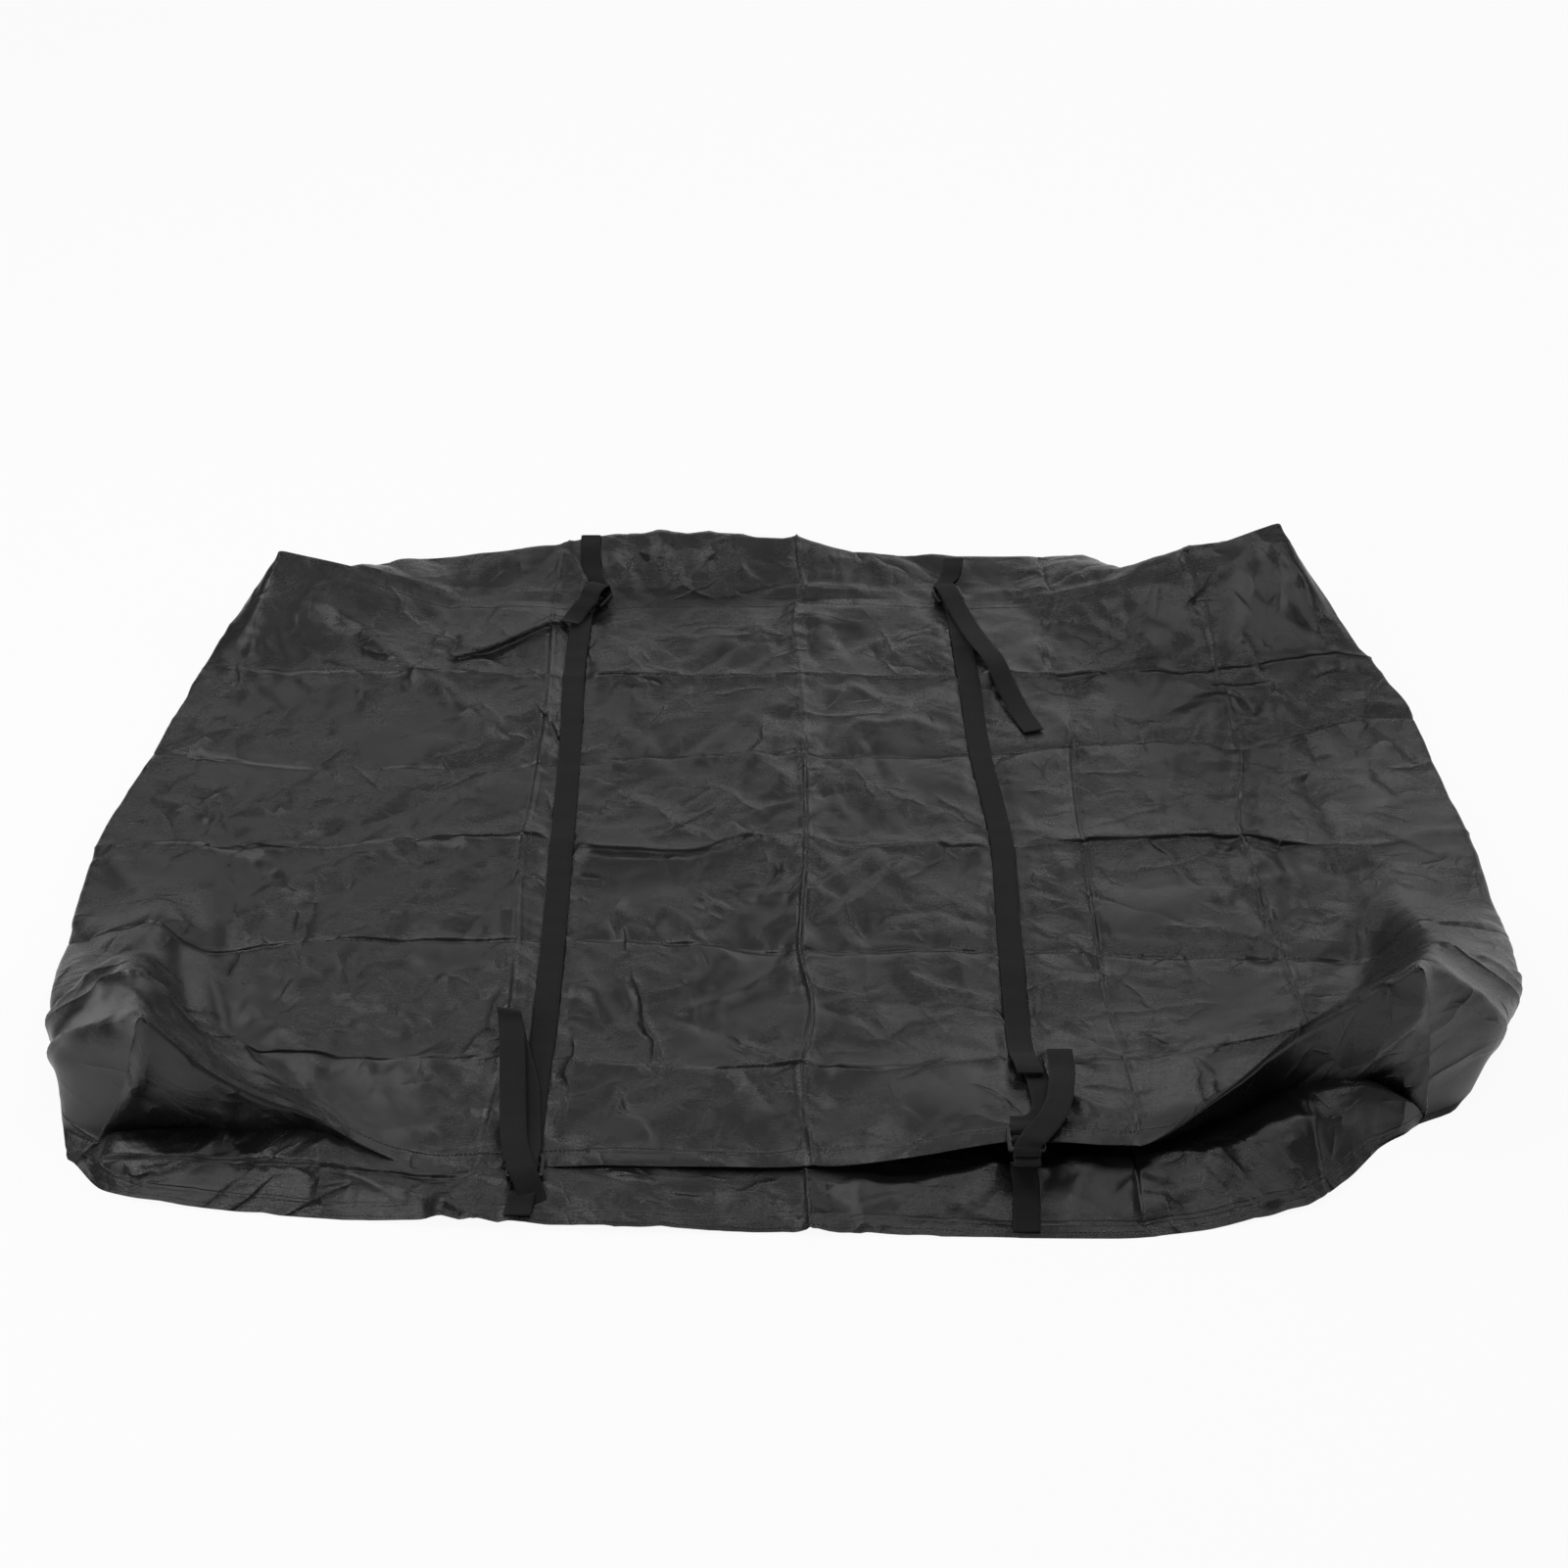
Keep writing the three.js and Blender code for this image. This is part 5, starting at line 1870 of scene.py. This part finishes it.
class Materials:
    """Builds the cover's materials from shared effects."""

    def __init__(self) -> None:
        """Make the shared effects."""
        self.crumple = crumple_group()
        self.band = band_group()
        self.weave = weave_group()
        self.wear = wear_group()

    def start(
        self, finish: Finish
    ) -> tuple[bpy.types.Material, Graph, bpy.types.Node, bpy.types.NodeSocket]:
        """Start a material with its shader and its cloth places.

        Args:
            finish: What it is to look like.

        Returns:
            The material, its graph, its shader and the socket of the cloth places.
        """
        material = bpy.data.materials.new(finish.name)
        material.use_nodes = True
        g = Graph(material.node_tree)
        shader = g.node("BsdfPrincipled")
        shader.inputs["IOR"].default_value = PLASTIC_IOR
        shader.inputs["Sheen Weight"].default_value = finish.sheen
        g.link(shader.outputs[0], g.node("OutputMaterial").inputs[0])
        place = g.node("Attribute", attribute_name="place")
        return material, g, shader, place.outputs["Vector"]

    def use(self, g: Graph, tree: bpy.types.NodeTree, place: bpy.types.NodeSocket) -> bpy.types.Node:
        """Use a shared effect.

        Args:
            g: The material's graph.
            tree: The effect.
            place: The cloth places.

        Returns:
            The effect's node.
        """
        node = g.node("Group", node_tree=tree)
        g.link(place, node.inputs[0])
        return node

    def tone(self, g: Graph, shader: bpy.types.Node, finish: Finish, mask: bpy.types.NodeSocket) -> None:
        """Colour and roughness from a mask.

        Args:
            g: The material's graph.
            shader: Its shader.
            finish: What it is to look like.
            mask: From 0, dark, to 1, light.
        """
        blend = g.node("Mix", data_type="RGBA")
        g.link(mask, blend.inputs[0])
        blend.inputs["A"].default_value = (*finish.dark, 1)
        blend.inputs["B"].default_value = (*finish.light, 1)
        g.link(blend.outputs["Result"], shader.inputs["Base Color"])
        g.link(g.ranged(mask, 0, 1, finish.rough), shader.inputs["Roughness"])

    def bump(self, g: Graph, height: object, distance: float, under: object = None) -> bpy.types.NodeSocket:
        """Add a bump.

        Args:
            g: The material's graph.
            height: Its height, from 0 to 1.
            distance: What 1 stands for, in metres.
            under: Normal of the bump below it, or none.

        Returns:
            The normal.
        """
        node = g.node("Bump")
        node.inputs["Distance"].default_value = distance
        g.link(height, node.inputs["Height"])
        if under is not None:
            g.link(under, node.inputs["Normal"])
        return node.outputs[0]

    def woven(
        self, g: Graph, place: bpy.types.NodeSocket, pitch: float
    ) -> bpy.types.NodeSocket:
        """Add the weave.

        Args:
            g: The material's graph.
            place: The socket of the places.
            pitch: Distance of two threads, in millimetres.

        Returns:
            Its height.
        """
        weave = self.use(g, self.weave, place)
        weave.inputs["Pitch"].default_value = pitch
        return weave.outputs[0]

    def cloth(self) -> bpy.types.Material:
        """Thin black polyester with a glossy coat.

        Returns:
            The material.
        """
        material, g, shader, place = self.start(CLOTH_FINISH)
        crumple = self.use(g, self.crumple, place)
        weave = self.woven(g, place, 0.7)
        wear = self.use(g, self.wear, place)
        rubbed = g.math("MULTIPLY", wear.outputs[0], 0.4)
        mask = g.math("MULTIPLY_ADD", crumple.outputs["Shade"], 0.6, rubbed)
        self.tone(g, shader, CLOTH_FINISH, mask)
        band = self.use(g, self.band, place)
        normal = self.bump(g, g.math("ADD", crumple.outputs["Height"], band.outputs["Height"]), 0.001)
        grain = g.noise(place, (0.75, 0.75, 0), 1.0)
        threads = g.math("MULTIPLY_ADD", grain.outputs[0], 3.6, weave)
        g.link(self.bump(g, threads, 0.00005, normal), shader.inputs["Normal"])
        return material

    def webbing(self) -> bpy.types.Material:
        """Black webbing with ribs across it, with painted shade in the grooves between the ribs and painted
        highlight on their crests.

        Returns:
            The material.
        """
        material, g, shader, place = self.start(WEB_FINISH)
        shader.inputs["Specular IOR Level"].default_value = 0.3
        rib = g.math("SINE", g.math("MULTIPLY", g.split(place)[1], 2 * math.pi / RIB_PITCH))
        height = g.math("MULTIPLY_ADD", rib, 0.5, self.woven(g, place, 2.2))
        wear = self.use(g, self.wear, place)
        rubbed = g.ranged(wear.outputs[0], 0, 1, (0.55, 1.0))
        # Painted shade and highlight: the colour follows the rib wave, darker in the grooves and lighter on
        # the crests, times the real wear.
        self.tone(g, shader, WEB_FINISH, g.math("MULTIPLY", g.ranged(rib, -1, 1, (0.25, 1.0)), rubbed))
        g.link(self.bump(g, height, 0.00035), shader.inputs["Normal"])
        return material

    def plain(self, finish: Finish) -> tuple[bpy.types.Material, Graph, bpy.types.Node, object]:
        """Start a material that has no cloth places, and give it its wear.

        Args:
            finish: What it is to look like.

        Returns:
            The material, its graph, its shader and the socket of its places in millimetres.
        """
        material, g, shader, _ = self.start(finish)
        place = g.scaled(g.node("TexCoord").outputs["Object"], (1000, 1000, 1000))
        self.tone(g, shader, finish, self.use(g, self.wear, place).outputs[0])
        return material, g, shader, place

    def nylon(self) -> bpy.types.Material:
        """Moulded nylon with a fine grain.

        Returns:
            The material.
        """
        material, g, shader, place = self.plain(NYLON_FINISH)
        grain = g.noise(place, (2.4, 2.4, 2.4), 3.0)
        g.link(self.bump(g, grain.outputs[0], 0.0001), shader.inputs["Normal"])
        return material

    def thread(self) -> bpy.types.Material:
        """Sewing thread.

        Returns:
            The material.
        """
        material, g, shader, place = self.plain(THREAD_FINISH)
        g.link(self.bump(g, self.woven(g, place, 0.5), 0.0001), shader.inputs["Normal"])
        return material


class Stitching:
    """Rows of lockstitch along the seams and hems."""

    pitch = 4.2
    length = 3.0
    radius = 0.34

    def __init__(self, maker: PieceMaker) -> None:
        """Keep the maker.

        Args:
            maker: Makes the pieces.
        """
        self.maker = maker

    def row(self, line: Array, normal: Array) -> tuple[Array, Array]:
        """Stitches along a line.

        Args:
            line: Points on the cloth.
            normal: The cloth's normals there.

        Returns:
            The stitches' points and faces.
        """
        run = run_of(line)
        middles = np.arange(self.pitch, run[-1] - self.pitch, self.pitch)
        up = read_off(middles, run, normal)
        centre = read_off(middles, run, line) + up * 0.25
        ahead = unit(read_off(middles + 1, run, line) - read_off(middles - 1, run, line))
        side = np.cross(ahead, up)
        rings = []
        for share, size in ((-0.5, 0.35), (-0.3, 1.0), (0.3, 1.0), (0.5, 0.35)):
            base = centre + ahead * share * self.length - up * (0.3 if size < 1 else 0)
            for turn in range(4):
                angle = math.pi / 2 * turn + math.pi / 4
                off = side * math.cos(angle) + up * math.sin(angle)
                rings.append(base + off * self.radius * size)
        points = np.stack(rings, 1).reshape(-1, 3)
        sides = [(4 * r, k, (k + 1) % 4) for r in range(3) for k in range(4)]
        shape = [(r + a, r + b, r + 4 + b, r + 4 + a) for r, a, b in sides]
        shape += [(3, 2, 1, 0), (12, 13, 14, 15)]
        starts = np.arange(len(middles))[:, None, None] * 16
        return points, (np.array(shape)[None] + starts).reshape(-1, 4)

    def build(self, name: str, lines: Sequence[tuple[Array, Array]]) -> bpy.types.Object:
        """Make several rows as one piece.

        Args:
            name: Name of the piece.
            lines: Lines on the cloth with their normals.

        Returns:
            The new piece.
        """
        points, faces, total = [], [], 0
        for line, normal in lines:
            more, shape = self.row(line, normal)
            points.append(more)
            faces.append(shape + total)
            total += len(more)
        piece = self.maker.mesh(name, np.concatenate(points), np.concatenate(faces), None)
        return piece


@dataclass(frozen=True)
class Softbox:
    """One soft light of the studio, in metres."""

    name: str
    at: tuple[float, float, float]
    size: tuple[float, float]
    power: float


class Studio:
    """Floor, lights, backdrop colour and camera."""

    focal = 53.04
    pitch_down = 37.8
    camera_height = 1.606
    camera_back = 1961.69
    samples = 56
    resolution = 1024
    boxes = (
        Softbox("back left softbox", (-1.5, 3.2, 2.2), (0.9, 0.9), 7.0),
        Softbox("back right softbox", (1.5, 3.2, 2.4), (1.1, 0.8), 9.0),
        Softbox("low back softbox", (0.6, 4.2, 0.9), (3.0, 0.5), 10.0),
        Softbox("high back softbox", (0.1, 2.2, 3.6), (1.6, 0.6), 6.0),
        Softbox("top softbox", (-1.4, 0.2, 2.6), (0.9, 0.9), 22.0),
        Softbox("second top softbox", (0.9, -0.2, 2.8), (0.7, 0.7), 13.0),
        Softbox("right softbox", (3.0, 1.2, 1.4), (0.9, 0.9), 10.0),
        Softbox("front fill", (-2.4, -2.2, 1.5), (1.2, 1.2), 22.0),
    )

    def __init__(self, placement: Placement) -> None:
        """Keep the placement.

        Args:
            placement: Where the cover lies.
        """
        self.placement = placement

    def floor(self) -> bpy.types.Object:
        """A plain pale floor.

        Returns:
            The floor.
        """
        data = bpy.data.meshes.new("floor")
        size = 12
        corners = [(x * size, y * size, 0) for x, y in ((-1, -1), (1, -1), (1, 1), (-1, 1))]
        data.from_pydata(corners, [], [(0, 1, 2, 3)])
        floor = bpy.data.objects.new("floor", data)
        bpy.context.scene.collection.objects.link(floor)
        material = bpy.data.materials.new("pale floor")
        material.use_nodes = True
        g = Graph(material.node_tree)
        plain = g.node("BsdfDiffuse")
        plain.inputs[0].default_value = (0.85, 0.85, 0.85, 1)
        white = g.node("Emission")
        white.inputs[1].default_value = 1.0
        seen = g.node("LightPath")
        blend = g.node("MixShader")
        straight = g.math("MULTIPLY", seen.outputs["Is Camera Ray"], 0.93)
        shown = g.math("MULTIPLY_ADD", seen.outputs["Is Glossy Ray"], 0.6, straight)
        g.feed(blend, in0=shown, in1=plain.outputs[0], in2=white.outputs[0])
        g.link(blend.outputs[0], g.node("OutputMaterial").inputs[0])
        data.materials.append(material)
        return floor

    def world(self) -> None:
        """White to the camera, and a soft grey room to everything else."""
        world = bpy.data.worlds.new("room")
        world.use_nodes = True
        g = Graph(world.node_tree)
        white = g.node("Background")
        white.inputs[0].default_value = (1, 1, 1, 1)
        room = g.node("Background")
        way = g.split(g.node("TexCoord").outputs["Generated"])
        back = g.math("POWER", g.math("MAXIMUM", way[1], 0.0), 2.0)
        back = g.math("MULTIPLY_ADD", back, 0.275, 0.06)
        right = g.math("MAXIMUM", way[0], 0.0)
        left = g.math("MAXIMUM", g.math("MULTIPLY", way[0], -1.0), 0.0)
        sides = g.math("MULTIPLY_ADD", right, 0.4, g.math("MULTIPLY", left, 0.2))
        g.link(g.math("ADD", back, sides), room.inputs[1])
        seen = g.node("LightPath")
        blend = g.node("MixShader")
        g.feed(blend, in0=seen.outputs["Is Camera Ray"], in1=room.outputs[0], in2=white.outputs[0])
        g.link(blend.outputs[0], g.node("OutputWorld").inputs[0])
        bpy.context.scene.world = world

    def lights(self) -> None:
        """The soft lights, each facing the cover."""
        for box in self.boxes:
            data = bpy.data.lights.new(box.name, "AREA")
            data.shape = "RECTANGLE"
            data.size, data.size_y = box.size
            data.energy = box.power
            light = bpy.data.objects.new(box.name, data)
            light.location = box.at
            away = light.location.copy()
            light.rotation_euler = away.to_track_quat("Z", "Y").to_euler()
            bpy.context.scene.collection.objects.link(light)

    def camera(self) -> None:
        """The camera of the photograph."""
        data = bpy.data.cameras.new("camera")
        data.sensor_width = 36
        data.lens = self.focal
        camera = bpy.data.objects.new("camera", data)
        spot = self.placement.metres(np.array([0, -self.camera_back, 0]))
        camera.location = (spot[0], spot[1], self.camera_height)
        camera.rotation_euler = (math.radians(90 - self.pitch_down), 0, 0)
        bpy.context.scene.collection.objects.link(camera)
        bpy.context.scene.camera = camera

    def render(self) -> None:
        """Render settings."""
        scene = bpy.context.scene
        scene.render.engine = "CYCLES"
        scene.cycles.samples = self.samples
        scene.cycles.use_denoising = True
        scene.render.resolution_x = scene.render.resolution_y = self.resolution
        scene.view_settings.view_transform = "Standard"

    def build(self) -> None:
        """Set the studio up."""
        self.floor()
        self.world()
        self.lights()
        self.camera()
        self.render()


class Cover:
    """The whole dressed cover."""

    def __init__(self) -> None:
        """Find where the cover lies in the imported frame."""
        low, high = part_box("front_left_buckle")
        middle = (low + high) / 2
        spot = BUCKLES["front_left"]
        drawn_y = spot.place[1] + spot.end * BUCKLE_OUT
        self.placement = Placement(middle.x / MM - spot.place[0], middle.y / MM - drawn_y)
        self.maker = PieceMaker(self.placement)
        self.materials = Materials()

    def cloth_pieces(self, cloths: CoverCloths) -> list[bpy.types.Object]:
        """Make the three cloth pieces.

        Args:
            cloths: The laid cloths.

        Returns:
            The pieces.
        """
        finish = self.materials.cloth()
        wide = self.maker.sheet("top_and_sides_cloth", cloths.wide, cloths.wide_marks)
        front = self.maker.sheet("front_wall_cloth", cloths.front, cloths.front_marks)
        back = self.maker.sheet("back_wall_cloth", cloths.back, cloths.back_marks)
        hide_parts("top_and_side_walls")
        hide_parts("front_wall")
        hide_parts("back_wall")
        for piece in (wide, front, back):
            piece.data.materials.append(finish)
        return [wide, front, back]

    def stitches(self, cloths: CoverCloths) -> bpy.types.Object:
        """Sew along the front and back seams and the front hem.

        Args:
            cloths: The laid cloths.

        Returns:
            The stitches.
        """
        wide_up = normals_of(cloths.wide)
        wide_up *= np.sign(wide_up[..., 2].mean())
        front_up = normals_of(cloths.front)
        front_up *= np.sign(front_up[:, -6:, 2].mean())
        rows = []
        inset = cloths.wide.shape[1] // 6
        across = slice(inset, -inset)
        for row in (4, -4):
            rows.append((cloths.wide[row, across], wide_up[row, across]))
        rows.append((cloths.front[4:-4, -5], front_up[4:-4, -5]))
        return Stitching(self.maker).build("seam_and_hem_stitches", rows)

    def build(self) -> None:
        """Make every piece."""
        cloths = ClothLayer(CoverForm()).lay()
        for piece in self.cloth_pieces(cloths):
            LOG.info("%s: %d faces", piece.name, len(piece.data.polygons))
        stitches = self.stitches(cloths)
        stitches.data.materials.append(self.materials.thread())
        web = self.materials.webbing()
        inset = sum(ClothLayer.wall_parts)
        top = Surface(cloths.plain[:, inset:-inset])
        front = Surface(cloths.front[:, -FRONT_STRIP:])
        back = Surface(cloths.back[:, :BACK_WALL])
        webbing = Webbing(self.maker, top, front, back)
        for piece in webbing.build():
            piece.data.materials.append(web)
            LOG.info("%s: %d faces", piece.name, len(piece.data.polygons))
        nylon = self.materials.nylon()
        for piece in Buckles().build():
            piece.data.materials.clear()
            piece.data.materials.append(nylon)
            LOG.info("%s: moulded edges", piece.name)


def main() -> None:
    """Build the cover and its studio, and note its size."""
    logging.basicConfig(level=logging.INFO, format="%(message)s")
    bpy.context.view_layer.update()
    cover = Cover()
    cover.build()
    Studio(cover.placement).build()


if __name__ == "__main__":
    main()
